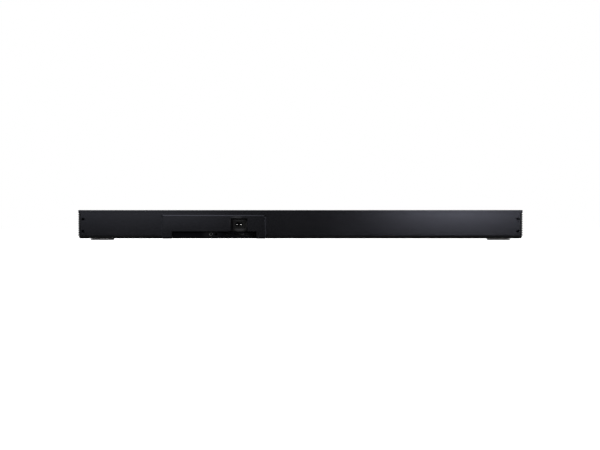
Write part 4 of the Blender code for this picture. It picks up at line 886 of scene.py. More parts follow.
# %% One screw
SHANK = 1.3
HEAD = 2.8
HEAD_HEIGHT = 1.2
SHANK_LENGTH = 7.5
CROSS_REACH = 1.5
CROSS_HALF = 0.32
CROSS_DEPTH = 0.75
seat = -SEAT_DEPTH + GAP
face = seat + HEAD_HEIGHT
profile = (
    (SHANK * 0.4, seat - SHANK_LENGTH),
    (SHANK, seat - SHANK_LENGTH + 1.0),
    (SHANK, seat),
    (HEAD - 0.15, seat),
    (HEAD, seat + 0.15),
    (HEAD - 0.05, face - 0.55),
    (HEAD - 0.35, face - 0.22),
    (HEAD - 0.95, face - 0.04),
    (HEAD - 1.5, face),
)
bars = ((CROSS_REACH, CROSS_HALF), (CROSS_HALF, CROSS_REACH))
slots = [block(-u, u, face - CROSS_DEPTH, face + 1, -v, v) for u, v in bars]
screw = machined("one_screw", turned(0, 0, profile, steps=24), BLACK_STEEL, cuts=slots, ease=0)

# %% Set the four screws
setting = Tree("set_screws", Screw="object", Seed="count", Material="material")
given = setting.given.outputs
one = setting.node("GeometryNodeObjectInfo", Object=given["Screw"], output=4)
angle = setting.node(
    "FunctionNodeRandomValue",
    {"data_type": "FLOAT_VECTOR"},
    Min=(0.0, 0.0, 0.0),
    Max=(0.0, math.pi, 0.0),
    Seed=given["Seed"],
)
turned_screws = setting.node(
    "GeometryNodeInstanceOnPoints", Points=given["Geometry"], Instance=one, Rotation=angle
)
setting.end(turned_screws)
mesh = bpy.data.meshes.new("screw_points")
mesh.from_pydata([(x * MM, REAR * MM, z * MM) for x, z in map(screw_place, SCREWS)], [], [])
screws = bpy.data.objects.new("rear_screws", mesh)
bpy.context.scene.collection.objects.link(screws)
setting.run(screws, Screw=screw, Seed=4, Material=BLACK_STEEL)
bpy.data.objects.remove(screw)
place(smoothed(screws, 50), "casing", "black_steel", *[f"rear_screw_{name}" for name in SCREWS])

# %% [markdown]
# ## The connector cover
# Around the sockets the back steps out by three millimetres, with a sloped edge on every side. That
# edge is what catches the light. The cover is lofted from rings that grow inwards towards the face,
# with an extra ring on each side of a corner to round it, and the bay and the pocket are cut through.

# %% Loft and cut the cover
COVER_SLOPE = 2.4
COVER_CORNER = 4.0
levels = (
    (COVER_BASE, 0.25),
    (COVER_BASE + 0.2, 0.0),
    (COVER_FACE - COVER_SLOPE - 0.05, 0.0),
    (COVER_FACE - COVER_SLOPE + 0.15, 0.12),
    (COVER_FACE - 0.45, COVER_SLOPE - 0.55),
    (COVER_FACE - 0.22, COVER_SLOPE - 0.22),
    (COVER_FACE - 0.06, COVER_SLOPE + 0.15),
    (COVER_FACE, COVER_SLOPE + 0.6),
)
sides = (COVER_X0, COVER_X1, COVER_LOW, COVER_HIGH)
rings = stacked(sides, COVER_CORNER, levels, shrink=0.6, upright=True, steps=8)
cover = object_of("connector_surround", lofted(rings), SHELL)
crowned(cover, COVER_LOW, COVER_HIGH, COVER_FACE, depth=0.16)
bay_cut = block(BAY_X0, BAY_X1, COVER_BASE - 5, COVER_FACE + 5, COVER_LOW - 5, BAY_TOP)
pocket_cut = block(pocket_x0, pocket_x1, COVER_BASE - 5, COVER_FACE + 5, BAY_TOP - 1, POCKET_TOP)
combine(cover, "DIFFERENCE", [bay_cut, pocket_cut])
eased(cover, 0.35, sharp=60)
place(smoothed(cover, 50), "casing", "shell_plastic", "connector_cover")

# %% [markdown]
# ## The bay and its metal plate
# The sockets face out through a deep, dark bay. Its liner is a moulded roof with two sides, and a
# pocket above for the mains inlet. At the back of it stands a black steel plate with one window for
# each socket. Both are plain sheet shapes, so what makes them real is their eased edges, their dull
# grain and the fit of every window around its socket.

# %% The liner
INLET_BODY_HALF = (10.0, 6.3)  # half the width and half the height of the inlet behind its flange
liner = block(PAN_X0, PAN_X1, BAY_BACK, PAN_REAR, FLOOR + GAP, BAY_TOP + PAN_WALL)
pocket_back = REAR - POCKET_DEPTH
outer = block(
    pocket_x0 - PAN_WALL,
    pocket_x1 + PAN_WALL,
    pocket_back - PAN_WALL,
    PAN_REAR - 0.2,
    BAY_TOP - 1,
    POCKET_ROOF,
)
body_u, body_v = (half + GAP for half in INLET_BODY_HALF)
cuts = [
    block(BAY_X0, BAY_X1, BAY_BACK - 5, REAR + 5, FLOOR - 5, BAY_TOP),
    block(pocket_x0, pocket_x1, pocket_back, REAR + 5, BAY_TOP - 5, POCKET_TOP),
    block(
        INLET_X - body_u,
        INLET_X + body_u,
        pocket_back - PAN_WALL - 5,
        pocket_back + 1,
        INLET_Z - body_v,
        INLET_Z + body_v,
    ),
]
liner = machined("bay_liner", liner, LINER, cuts=cuts, adds=[outer], ease=0.3)
place(liner, "casing", "inner_plastic", "recess_pan")


# %% The plate
SOCKET_NODES = ("display_input_socket", "display_output_socket", "service_socket", "optical_socket")
JACKS = span("audio_jacks")
JACK_Z = (JACKS[4] + JACKS[5]) / 2
JACK_MIDDLE = (JACKS[0] + JACKS[1]) / 2
JACK_SPACING = 10.7
JACK_PLACES = (JACK_MIDDLE - JACK_SPACING / 2, JACK_MIDDLE + JACK_SPACING / 2)
COLLAR = 2.9
JACK_HOLE = 1.8
cuts = []
for node in SOCKET_NODES:
    x0, x1, _, _, z0, z1 = span(node)
    window = rounded_rectangle(x0 - GAP, x1 + GAP, z0 - GAP, z1 + GAP, 0.5, steps=3)
    cuts.append(extruded_back(window, PLATE[2] - 3, PLATE[3] + 3))
cuts += [hole(x, JACK_Z, COLLAR + GAP, PLATE[2] - 3, PLATE[3] + 3) for x in JACK_PLACES]
plate = machined("jack_plate_steel", block(*PLATE), BLACK_STEEL, cuts=cuts, ease=0.15)
place(plate, "casing", "black_steel", "jack_plate")

# %% [markdown]
# ## Rows of small bars
# A socket's contacts and the grip on a foot pad are both rows of one bar. One tree serves them all.
# It takes the bar as an object, because a contact and a grip bar have
# different ends, and stacks it by a count and a step.

# %% The tree for rows
row = Tree("row_of_bars", Bar="object", Step="vector", Start="vector", Count="count", Material="material")
given = row.given.outputs
bar = row.node("GeometryNodeObjectInfo", Object=given["Bar"], output=4)
line = row.node(
    "GeometryNodeMeshLine", Count=given["Count"], Offset=given["Step"], Start_Location=given["Start"]
)
bars = row.node("GeometryNodeInstanceOnPoints", Points=line, Instance=bar)
row.end(bars)


def bars_in_a_row(name, bar_shape, material, start, step, count, ease=0.0):
    """A row of one small shape as a plain mesh. Start and step are (x, y, z) in millimetres."""
    bar = machined(f"{name}_bar", bar_shape, material, ease=ease, segments=1)
    mesh = bpy.data.meshes.new(name)
    made = bpy.data.objects.new(name, mesh)
    bpy.context.scene.collection.objects.link(made)
    row.run(
        made,
        Bar=bar,
        Step=[value * MM for value in step],
        Start=[value * MM for value in start],
        Count=count,
        Material=material,
    )
    bpy.data.objects.remove(bar)
    return made


def joined(name, *objs):
    """Several objects as one, with their materials kept."""
    with bpy.context.temp_override(active_object=objs[0], selected_editable_objects=list(objs)):
        bpy.ops.object.join()
    objs[0].name = name
    return objs[0]


print("row tree ready")

# %% [markdown]
# ## Sockets
# Each socket is a folded metal shell around a dark plastic tongue, with fine spring contacts on the
# tongue. The two display sockets have their lower corners drawn in, and the small one beside them is a
# service port. A shell is an extruded outline with a smaller one cut out of it, eased so that its lip
# catches the light. The contacts come from the row tree.


# %% Display sockets and the service port
SHELL_METAL = 0.5
DISPLAY_CONTACTS = 19
DISPLAY_PITCH = 0.5
SERVICE_CONTACTS = 4
SERVICE_PITCH = 7.0 / 3


def metal_shell(name, outline, inner, y0, y1, back):
    shell = object_of(name, extruded_back(outline, y0, y1), DARK_METAL)
    combine(shell, "DIFFERENCE", [extruded_back(inner, back, y1 + 3)])
    return eased(shell, 0.14, segments=2)


def display_outline(x0, x1, z0, z1, inset, slope=1.4):
    return [
        (x0 + inset + slope, z0 + inset),
        (x1 - inset - slope, z0 + inset),
        (x1 - inset, z0 + inset + slope),
        (x1 - inset, z1 - inset),
        (x0 + inset, z1 - inset),
        (x0 + inset, z0 + inset + slope),
    ]


def contact_row(name, bar, middle, pitch, count):
    start = middle - (count - 1) / 2 * pitch
    return bars_in_a_row(name, bar, DARK_METAL, (start, 0, 0), (pitch, 0, 0), count)


for way in ("input", "output"):
    node, label = f"display_{way}_socket", f"display_socket_{way}"
    x0, x1, y0, y1, z0, z1 = span(node)
    outline, inner = (display_outline(x0, x1, z0, z1, inset) for inset in (0, SHELL_METAL))
    shell = metal_shell(label, outline, inner, y0, y1, y0 + 2.5)
    middle = (z0 + z1) / 2 + 0.2
    tongue = block(x0 + 2.4, x1 - 2.4, y0 + 1.5, y1 - 1.5, middle - 0.6, middle + 0.6)
    tongue = machined(f"{label}_tongue", tongue, SOCKETS, ease=0.15)
    contact = block(-0.13, 0.13, y0 + 3.0, y1 - 2.0, middle - 0.66, middle + 0.66)
    contacts = contact_row(f"{label}_contacts", contact, (x0 + x1) / 2, DISPLAY_PITCH, DISPLAY_CONTACTS)
    place(joined(label, smoothed(shell, 50), tongue, contacts), "casing", "bright_metal", node)

x0, x1, y0, y1, z0, z1 = span("service_socket")
outline = rounded_rectangle(x0, x1, z0, z1, 0.7, steps=3)
rim = SHELL_METAL
inner = rounded_rectangle(x0 + rim, x1 - rim, z0 + rim, z1 - rim, 0.3, steps=3)
shell = metal_shell("service_port", outline, inner, y0, y1, y0 + 3)
tongue = block(x0 + 1, x1 - 1, y0 + 2, y1 - 1.2, z1 - 2.9, z1 - 1.2)
tongue = machined("service_tongue", tongue, SOCKETS, ease=0.15)
contact = block(-0.5, 0.5, y0 + 4, y1 - 2.2, z1 - 2.98, z1 - 2.8)
contacts = contact_row("service_contacts", contact, (x0 + x1) / 2, SERVICE_PITCH, SERVICE_CONTACTS)
port = joined("service_port", smoothed(shell, 50), tongue, contacts)
place(port, "casing", "bright_metal", "service_socket")

# %% [markdown]
# ## The optical socket and its shutter
# The optical socket is a square dark mouth that a sprung flap keeps shut. The flap swings inwards
# about its upper edge when a plug goes in. The body is cut hollow with a chamfered lip, with the lens
# barrel standing at its back. The flap is a thin plate with a raised rim.

# %% Body and flap
x0, x1, y0, y1, z0, z1 = span("optical_socket")
OPTICAL_WALL = 1.0
funnel = lofted(
    [
        [(x, y, z) for x, z in rounded_rectangle(x0 + w, x1 - w, z0 + w, z1 - w, 0.7, steps=3)]
        for y, w in ((y0 + 1.8, OPTICAL_WALL), (y1 - 0.5, OPTICAL_WALL), (y1 + 0.1, 0.55))
    ]
)
flap = span("optical_shutter")
reach = flap[5] - 0.4 - flap[4]
hinge_y = y1 - 1.0
middle_x, middle_z = (x0 + x1) / 2, (z0 + z1) / 2
tip = hinge_y - reach - 0.6
profile = ((1.3, y0 + 0.8), (1.3, tip - 0.25), (1.05, tip), (0.5, tip))
barrel = turned(middle_x, middle_z, profile, steps=24)
body = machined("optical_mouth", block(x0, x1, y0, y1, z0, z1), SOCKETS, cuts=[funnel], ease=0.2)
combine(body, "UNION", [barrel])
place(smoothed(body), "casing", "socket_plastic", "optical_socket")

fx0, fx1, fy0, fy1, fz0, fz1 = flap
panel = rounded_rectangle(fx0, fx1, fz0, fz1, 0.35, steps=3)
field = rounded_rectangle(fx0 + 1.1, fx1 - 1.1, fz0 + 1.0, fz1 - 1.6, 0.5, steps=3)
sunk = extruded_back(field, fy1 - 0.22, fy1 + 1)
shutter = machined("optical_flap", extruded_back(panel, fy0, fy1), SOCKETS, cuts=[sunk], ease=0.12)
place(shutter, "shutter", "socket_plastic", "optical_shutter")

# %% [markdown]
# ## Audio jacks and the mains inlet
# The audio jacks are two round collars through the plate, and one of them wears a plated ring. The
# mains inlet is a small flanged body with a figure-of-eight cavity around two bright pins. Collars,
# rings and pins are turned shapes, and the rest is cut from solids.

# %% The jacks
jx0, jx1, jy0, jy1, jz0, jz1 = JACKS
housing = block(jx0, jx1, jy0, PLATE[2] - GAP, jz0, jz1)
collars = []
for x in JACK_PLACES:
    profile = ((COLLAR, PLATE[2] - 2), (COLLAR, jy1 - 0.3), (COLLAR - 0.3, jy1), (JACK_HOLE + 0.3, jy1))
    collars.append(turned(x, JACK_Z, profile, steps=40))
bores = []
for x in JACK_PLACES:
    profile = (
        (JACK_HOLE, jy0 + 2),
        (JACK_HOLE, jy1 - 0.25),
        (JACK_HOLE + 0.35, jy1 + 0.1),
        (JACK_HOLE + 0.4, jy1 + 2),
    )
    bores.append(turned(x, JACK_Z, profile, steps=40))
jacks = machined("audio_jack_pair", housing, SOCKETS, ease=0.2)
combine(jacks, "UNION", collars)
combine(jacks, "DIFFERENCE", bores)
place(smoothed(jacks), "casing", "socket_plastic", "audio_jacks")
ring_profile = (
    (COLLAR + 0.05, jy1 - 1.0),
    (COLLAR + 0.28, jy1 - 0.9),
    (COLLAR + 0.28, jy1 - 0.3),
    (COLLAR + 0.2, jy1 - 0.12),
    (COLLAR - 0.05, jy1 - 0.03),
    (COLLAR - 0.3, jy1 + 0.0),
    (COLLAR - 0.6, jy1 - 0.05),
    (COLLAR - 0.75, jy1 - 0.2),
    (COLLAR - 0.5, jy1 - 0.6),
)
ring = turned(JACK_PLACES[1], JACK_Z, ring_profile, closed=True, steps=40)
place(smoothed(object_of("audio_jack_ring", ring, PIN_METAL)), "casing", "bright_metal")

# %% The mains inlet
ix0, ix1, iy0, iy1, iz0, iz1 = INLET
flange_back = pocket_back + GAP
face = iy1
levels = ((flange_back, 0.0), (face - 0.4, 0.0), (face - 0.1, 0.15), (face, 0.4))
flange = lofted(stacked((ix0, ix1, iz0, iz1), 2.5, levels, shrink=1.0, upright=True))
inlet = object_of("mains_socket", flange, INLET_BODY)
body_u, body_v = INLET_BODY_HALF
body = block(INLET_X - body_u, INLET_X + body_u, iy0, flange_back + 0.75, INLET_Z - body_v, INLET_Z + body_v)
combine(inlet, "UNION", [body])
CAVITY_RADIUS = 4.5
CAVITY_WIDTH = 15.2
CAVITY_DEPTH = 12.8
CAVITY_RIM = 0.45
WAIST = 0.55


def lobed(y0, y1, grow=0.0):
    """The cavity with enough points along its waist to bend it."""
    outline = []
    reach = CAVITY_WIDTH / 2 - CAVITY_RADIUS
    radius = CAVITY_RADIUS + grow
    for side in (1, -1):
        for k in range(17):
            angle = math.radians(-90 + 180 * k / 16)
            outline.append((side * (reach + radius * math.cos(angle)), side * radius * math.sin(angle)))
        for k in range(1, 8):
            u = side * reach * (1 - k / 4)
            outline.append((u, side * (radius - WAIST * (1 - (u / reach) ** 2))))
    return [[(INLET_X + u, y, INLET_Z + v) for u, v in outline] for y in (y0, y1)]


cavity_floor = face - CAVITY_DEPTH
mouth = [lobed(face - 0.5, 0)[0], lobed(face + 0.1, 0, CAVITY_RIM)[0]]
combine(inlet, "DIFFERENCE", [lofted(lobed(cavity_floor, face - 0.4)), lofted(mouth)])
PIN = 1.18
PIN_TIP = ((1.0, 0.6), (0.97, 0.35), (0.9, 0.16), (0.6, 0.05), (0.3, 0.0))  # share of the radius, depth
bores = []
for node in ("inlet_pin_left", "inlet_pin_right"):
    x0, x1, _, _, _, _ = span(node)
    bores.append(hole((x0 + x1) / 2, INLET_Z, PIN + GAP, iy0 - 2, cavity_floor + 1, 20))
combine(inlet, "DIFFERENCE", bores)
place(smoothed(inlet), "casing", "socket_plastic", "mains_inlet")
for node in ("inlet_pin_left", "inlet_pin_right"):
    x0, x1, y0, y1, _, _ = span(node)
    profile = [(PIN, y0)] + [(PIN * share, y1 - depth) for share, depth in PIN_TIP]
    pin = turned((x0 + x1) / 2, INLET_Z, profile, steps=24)
    pin = smoothed(object_of(node.replace("inlet", "mains"), pin, PIN_METAL), 50)
    place(pin, "casing", "bright_metal", node)

# %% [markdown]
# ## Feet
# Under each end a moulded skid runs from front to back, with a rubber pad let into it at both ends.
# The skid is lofted with almost upright sides and comes down close to the pads' level, so that foot
# and pad read as one dark block. Each pad has a row of small grip bars across it, which come from
# the row tree and sit on the pad's underside.

# %% Skids and pads
PAD_SEAT = 1.5
SKID_LIP = 0.7
SKID_CORNER = 1.4
SKID_BASE = ((0.0, 0.45), (0.12, 0.2))  # height above its underside, inset
SKID_HEAD = ((0.9, 0.08), (0.5, 0.0), (0.15, 0.0), (0.0, 0.15))  # depth below its top, inset
PAD_CORNER = 2.4
PAD_LEVELS = ((0.15, 0.5), (0.25, 0.2), (0.5, 0.05), (0.8, 0.0))  # height above the ground, inset
GRIPS = 18
GRIP_START = 2.5
GRIP_RUN = 37.0
for side_name in ("left", "right"):
    x0, x1, y0, y1, z0, z1 = span(f"skid_foot_{side_name}")
    z0 -= SKID_LIP
    levels = [(z0 + rise, inset) for rise, inset in SKID_BASE]
    levels += [(z1 - drop, inset) for drop, inset in SKID_HEAD]
    rings = stacked((x0, x1, y0, y1), SKID_CORNER, levels, steps=8)
    pads = {end: span(f"foot_pad_{end}_{side_name}") for end in ("front", "rear")}
    depths = ((z0 - 1, -GAP), (z0 + PAD_SEAT, -GAP))
    seats = [lofted(stacked(pad[:4], PAD_CORNER + 0.4, depths)) for pad in pads.values()]
    skid = object_of(f"skid_{side_name}", lofted(rings), SKID)
    combine(skid, "DIFFERENCE", seats)
    place(smoothed(skid, 30), "casing", "tray_plastic", f"skid_foot_{side_name}")
    for end, (px0, px1, py0, py1, pz0, pz1) in pads.items():
        levels = [(pz0 + rise, inset) for rise, inset in PAD_LEVELS] + [(pz1, 0.0)]
        rings = stacked((px0, px1, py0, py1), PAD_CORNER, levels)
        pad = object_of(f"pad_{end}_{side_name}", lofted(rings), PAD)
        grip = block(-0.55, 0.55, py0 + 1.6, py1 - 1.6, pz0, pz0 + 0.6)
        start, step = (px0 + GRIP_START, 0, 0), (GRIP_RUN / (GRIPS - 1), 0, 0)
        grips = bars_in_a_row(f"grip_{end}_{side_name}", grip, PAD, start, step, GRIPS, ease=0.18)
        pad = joined(f"pad_{end}_{side_name}", smoothed(pad, 30), smoothed(grips, 30))
        place(pad, "casing", "foot_rubber", f"foot_pad_{end}_{side_name}")

# %% [markdown]
# ## Keys
# Four keys lie flush in the lid: power, source, and two for the volume. A finger finds a key by its
# shallow dish, so each cap is lofted from rings that step in and sink towards the middle. Its sign is
# printed, which here is a very thin raised shape in pale paint. The signs are the common ones that
# every maker uses. Key and sign ride together on the key's own body.

# %% Key signs
SIGN_RISE = 0.05


def arc(radius, width, start, end, steps=20):
    """A flat ring, or a part of one, as an outline."""
    outer, inner = [], []
    for k in range(steps + 1):
        angle = math.radians(start + (end - start) * k / steps)
        outer.append(((radius + width / 2) * math.cos(angle), (radius + width / 2) * math.sin(angle)))
        inner.append(((radius - width / 2) * math.cos(angle), (radius - width / 2) * math.sin(angle)))
    return outer + inner[::-1]


THIN = 0.17
WIDE = 1.3
FRAME_SIGN = stroke(-1.7, 1.7, -1.2, 1.2) + [
    (-1.7, 0.5),
    (-1.4, 0.5),
    (-1.4, 0.9),
    (1.4, 0.9),
    (1.4, -0.9),
    (-1.4, -0.9),
    (-1.4, -0.5),
    (-1.7, -0.5),
]
ARROW_SIGN = [(-2.3, -0.15), (-0.3, -0.15), (-0.3, -0.6), (0.5, 0.0), (-0.3, 0.6), (-0.3, 0.15), (-2.3, 0.15)]
QUARTER = ((-WIDE, -THIN), (-THIN, -THIN), (-THIN, -WIDE))
PLUS_SIGN = [(x, y) for x, y in QUARTER]
PLUS_SIGN += [(-y, x) for x, y in QUARTER] + [(-x, -y) for x, y in QUARTER] + [(y, -x) for x, y in QUARTER]
SIGNS = {
    "power": [arc(1.25, 0.32, 130, 410), stroke(-0.16, 0.16, 0.2, 1.75)],
    "source": [
        FRAME_SIGN,
        ARROW_SIGN,
    ],
    "volume_down": [stroke(-WIDE, WIDE, -THIN, THIN)],
    "volume_up": [PLUS_SIGN],
}

# %% Caps
LIP_HEIGHT = 0.8
KEY_POST = 1.6
DISH = ((0.0, -0.32), (0.1, -0.12), (0.35, 0.0), (0.7, -0.01), (1.2, -0.07), (1.9, -0.14), (2.7, -0.18))
for name in KEY_NAMES:
    x0, x1, y0, y1 = key_span(name)
    _, _, _, _, z0, top = span(f"key_{name}")
    lip_low = LID_TOP - LID_SKIN - GAP - LIP_HEIGHT
    sides = (x0, x1, y0, y1)
    lip_top = lip_low + LIP_HEIGHT
    rings = stacked(sides, KEY_ROUND, ((lip_low, -KEY_LIP), (lip_top, -KEY_LIP), (lip_top, 0.0)))
    dish = [(top + fall, inset) for inset, fall in DISH]
    rings += stacked(sides, KEY_ROUND, dish, shrink=1.0, least=0.6)
    cap = object_of(f"{name}_key", lofted(rings), KEYS)
    middle_x, middle_y = (x0 + x1) / 2, (y0 + y1) / 2
    combine(cap, "UNION", [extruded_up(circle(KEY_POST, 20, middle_x, middle_y), z0, lip_low + 0.4)])
    place(smoothed(cap, 35), f"key_{name}", "key_plastic", f"key_{name}")
    low = top - 0.3
    high = top - 0.18 + SIGN_RISE
    outlines = [[(middle_x - u, middle_y - v) for u, v in outline] for outline in SIGNS[name]]
    marks = [extruded_up(outline, low, high) for outline in outlines]
    sign = object_of(f"{name}_sign", together(*marks), MARK)
    place(smoothed(sign), f"key_{name}", "key_plastic")

# %% [markdown]
# ## Drivers and tweeters
# Behind the cloth each end holds a long oval driver and a small dome tweeter. A driver's cone is
# pressed polymer with a dust cap, glued to a coil that stands in the magnet's gap. A half-round
# rubber roll joins the cone to the steel basket. Cone, roll and dome are lofted or turned with fine
# steps.

# %% Cones and rolls
ROLL_WIDTH = 5.5
ROLL_RISE = 2.9
ROLL_SKIN = 0.8
CONE_BOWL = 9.0
CONE_SKIN = 0.9
COIL_SHARE = 0.72
COIL_SKIN = 0.7
COIL_LENGTH = 13.5
OVAL_STEPS = 72


def driver_cone(name, x, z, rim, length, height):
    """The cone with its dust cap and voice coil, as rings from the cap round to the coil's bore."""
    bottom = rim + CONE_BOWL
    coil = height * COIL_SHARE
    outer, inner, cap = coil + COIL_SKIN, coil - COIL_SKIN, coil + 2
    steps = [(0.5, 0.5, bottom - 4.2)]
    for share in (0.25, 0.45, 0.62, 0.78, 0.9):
        steps.append((cap * share, cap * share, bottom - 4.2 + 2.3 * share**2))
    steps.append((cap + 1.5, cap, bottom - 1.6))
    for k in range(1, 9):
        share = k / 8
        sag = 0.7 * math.sin(math.pi * share)
        long = cap + 1.5 + (length - 2 - cap - 1.5) * share
        high = cap + (height - 2 - cap) * share
        steps.append((long, high, bottom - 1.6 + (rim - bottom + 1.6) * share + sag))
    steps += [
        (length, height, rim),
        (length, height, rim + CONE_SKIN),
        (outer + 4, outer + 2, bottom + CONE_SKIN - 0.4),
        (outer, outer, bottom + CONE_SKIN),
        (outer, outer, bottom + COIL_LENGTH),
        (inner, inner, bottom + COIL_LENGTH),
        (inner, inner, bottom - 1.2),
        (0.5, 0.5, bottom - 3.2),
    ]
    return object_of(name, lofted([oval_ring(x, z, *size, y, OVAL_STEPS) for *size, y in steps]), CONE)


def driver_roll(name, x, z, face, length, height):
    """The rubber roll between the basket's mouth and the cone, as one closed band."""
    profile = [(-0.2, 0.0), (0.02, 0.0)]
    for k in range(13):
        profile.append((0.1 + 0.8 * k / 12, math.sin(math.pi * k / 12)))
    profile += [(0.98, 0.0), (1.1, 0.0)]
    sides = []
    for base in (face - GAP - ROLL_SKIN, face - GAP):
        side = []
        for share, rise in profile:
            grow = -2 * ROLL_WIDTH * share
            side.append(oval_ring(x, z, length + grow, height + grow, base - ROLL_RISE * rise, OVAL_STEPS))
        sides.append(side)
    return object_of(name, lofted(sides[0] + sides[1][::-1], closed=True), ROLL)


def bend_with_cone(roll, side_name, x, z, face, length, height):
    """Works out each point's share of the roll from outer to inner lip; the share is not kept, so the roll is
    not bent.
    """
    reach = height / 2
    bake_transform(roll)
    run = (length - height) / 2
    for vert in roll.data.vertices:
        aside = max(0.0, abs(vert.co.x / MM - x) - run)
        share = (reach - math.hypot(aside, vert.co.z / MM - z)) / ROLL_WIDTH
        share = min(1.0, max(0.0, (share - 0.05) / 0.9))


for side_name in ("left", "right"):
    x0, x1, face, _, z0, z1 = span(f"driver_{side_name}_basket")
    x, z = (x0 + x1) / 2, (z0 + z1) / 2
    c = span(f"driver_{side_name}_cone")
    cone = driver_cone(f"cone_and_coil_{side_name}", x, z, face, c[1] - c[0], c[5] - c[4])
    place(smoothed(cone, 35), f"cone_{side_name}", "cone_polymer", f"driver_{side_name}_cone")
    s = span(f"driver_{side_name}_surround")
    mouth = (s[1] - s[0] - 0.4 * ROLL_WIDTH, s[5] - s[4] - 0.4 * ROLL_WIDTH)
    roll = smoothed(driver_roll(f"rubber_roll_{side_name}", x, z, face, *mouth), 35)
    bend_with_cone(roll, side_name, x, z, face, *mouth)
    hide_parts(f"driver_{side_name}_surround")
    print(roll.name, len(roll.data.polygons), "faces, bends with the cone")

# %% Magnets and domes
MAGNET_DEPTH = 15.0
SLOT_DEPTH = 10.5
SLOT_HALF = 0.95
PLATE_DEPTH = 3.0
PLATE_LIP = 0.7
DOME_RISE = 3.0
DOME_SKIN = 0.8
for side_name in ("left", "right"):
    x0, x1, y0, y1, z0, z1 = span(f"driver_{side_name}_magnet")
    c = span(f"driver_{side_name}_cone")
    coil = (c[5] - c[4]) * COIL_SHARE / 2
    radius = (x1 - x0) / 2
    front = y1 - MAGNET_DEPTH
    profile = (
        (coil - SLOT_HALF, y0),
        (coil - SLOT_HALF, front + SLOT_DEPTH),
        (coil + SLOT_HALF, front + SLOT_DEPTH),
        (coil + SLOT_HALF, front + 0.3),
        (coil + 1.2, front),
        (radius - 0.4, front),
        (radius, front + 0.4),
        (radius, front + PLATE_DEPTH),
        (radius - PLATE_LIP, front + 3.2),
        (radius - PLATE_LIP, y1 - 3.4),
        (radius, y1 - 3.2),
        (radius, y1 - 0.5),
        (radius - 0.5, y1),
    )
    magnet = turned((x0 + x1) / 2, (z0 + z1) / 2, profile, steps=64)
    magnet = smoothed(object_of(f"magnet_{side_name}", magnet, MAGNET), 30)
    place(magnet, "casing", "magnet_steel", f"driver_{side_name}_magnet")
    x0, x1, y0, y1, z0, z1 = span(f"tweeter_{side_name}_dome")
    radius = (x1 - x0) / 2
    angles = [math.radians(10 * k) for k in range(1, 10)]
    curve = [(radius * math.sin(angle), DOME_RISE * math.cos(angle)) for angle in angles]
    outer = [(r, y1 - DOME_SKIN - h) for r, h in curve]
    inner = [(r - DOME_SKIN * r / radius, y1 - h) for r, h in reversed(curve)]
    dome = turned((x0 + x1) / 2, (z0 + z1) / 2, outer + [(radius, y1)] + inner, steps=48)
    dome = smoothed(object_of(f"tweeter_dome_{side_name}", dome, CONE), 35)
    place(dome, f"dome_{side_name}", "cone_polymer", f"tweeter_{side_name}_dome")

# %% [markdown]
# ## Inner pieces that keep their CAD shape
# The baffle, the speaker boxes, the port tubes, the baskets, the boards and the leads stay hidden, so
# they keep the shape that the CAD model gave them. They still get a real finish, because a bar that
# is opened on a bench should look right inside. Only their material slots change.

# %% Finish the inner pieces
KEPT = {
    "baffle": INNER,
    "speaker_box_left": INNER,
    "speaker_box_right": INNER,
    "port_tube_left": INNER,
    "port_tube_right": INNER,
    "tweeter_left_body": INNER,
    "tweeter_right_body": INNER,
    "driver_left_basket": BLACK_STEEL,
    "driver_right_basket": BLACK_STEEL,
    "main_board": BOARD,
    "power_board": BOARD,
    "key_board": BOARD,
    "display_board": BOARD,
    "transformer": TAPE,
    "heat_sink": ALUMINIUM,
    "status_lens": LENS,
    "mains_lead": JACKET,
    "speaker_lead_left": JACKET,
    "speaker_lead_right": JACKET,
}
for node, material in KEPT.items():
    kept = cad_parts[node]
    if not kept.material_slots:
        kept.data.materials.append(material)
    for kept_slot in kept.material_slots:
        kept_slot.material = material
print("kept pieces with a new finish:", len(KEPT))


# %% [markdown]
# ## Studio
# A black object on white shows only what it reflects. The room is plain white to the camera and to
# rough light, but it is left out of reflections, so the satin back shows only the softboxes: one to
# the right of the camera, a weaker one to the left, one overhead that draws the edges, and one at
# each end for the ribs. Two wide, dim panels and a box in front serve the lid and the grille. Two
# small spotlights reach into the sockets, where no softbox can. The floor is a plain pale sheet that
# stays out of reflections too.

# %% Room and floor
world = bpy.data.worlds.new("white_room")
bpy.context.scene.world = world
world.use_nodes = True
background = world.node_tree.nodes["Background"]
background.inputs["Color"].default_value = (1.0, 1.0, 1.0, 1.0)
background.inputs["Strength"].default_value = 1.0
world.cycles_visibility.glossy = False

FLOOR_REACH = 30.0
FLOOR_GLOW = 0.12
floor_material = bpy.data.materials.new("pale_floor")
floor_material.use_nodes = True
paint = floor_material.node_tree.nodes["Principled BSDF"]
paint.inputs["Base Color"].default_value = (0.95, 0.95, 0.95, 1.0)
paint.inputs["Roughness"].default_value = 1.0
paint.inputs["Specular IOR Level"].default_value = 0.0
paint.inputs["Emission Color"].default_value = (1.0, 1.0, 1.0, 1.0)
paint.inputs["Emission Strength"].default_value = FLOOR_GLOW
sheet = bmesh.new()
corners = [sheet.verts.new((x, y, 0)) for x, y in ((-1, -1), (1, -1), (1, 1), (-1, 1))]
sheet.faces.new(corners)
bmesh.ops.scale(sheet, verts=sheet.verts, vec=(FLOOR_REACH / MM, FLOOR_REACH / MM, 1))
floor = object_of("studio_floor", sheet, floor_material)
floor.visible_glossy = False
print("floor laid")


# %% Softboxes
def aimed(name, kind, where, target, power):
    """A light that looks from where to target, both (x, y, z) in metres."""
    light = bpy.data.lights.new(name, kind)
    light.energy = power
    obj = bpy.data.objects.new(name, light)
    obj.location = where
    obj.rotation_euler = (Vector(target) - Vector(where)).to_track_quat("-Z", "Y").to_euler()
    bpy.context.scene.collection.objects.link(obj)
    return obj


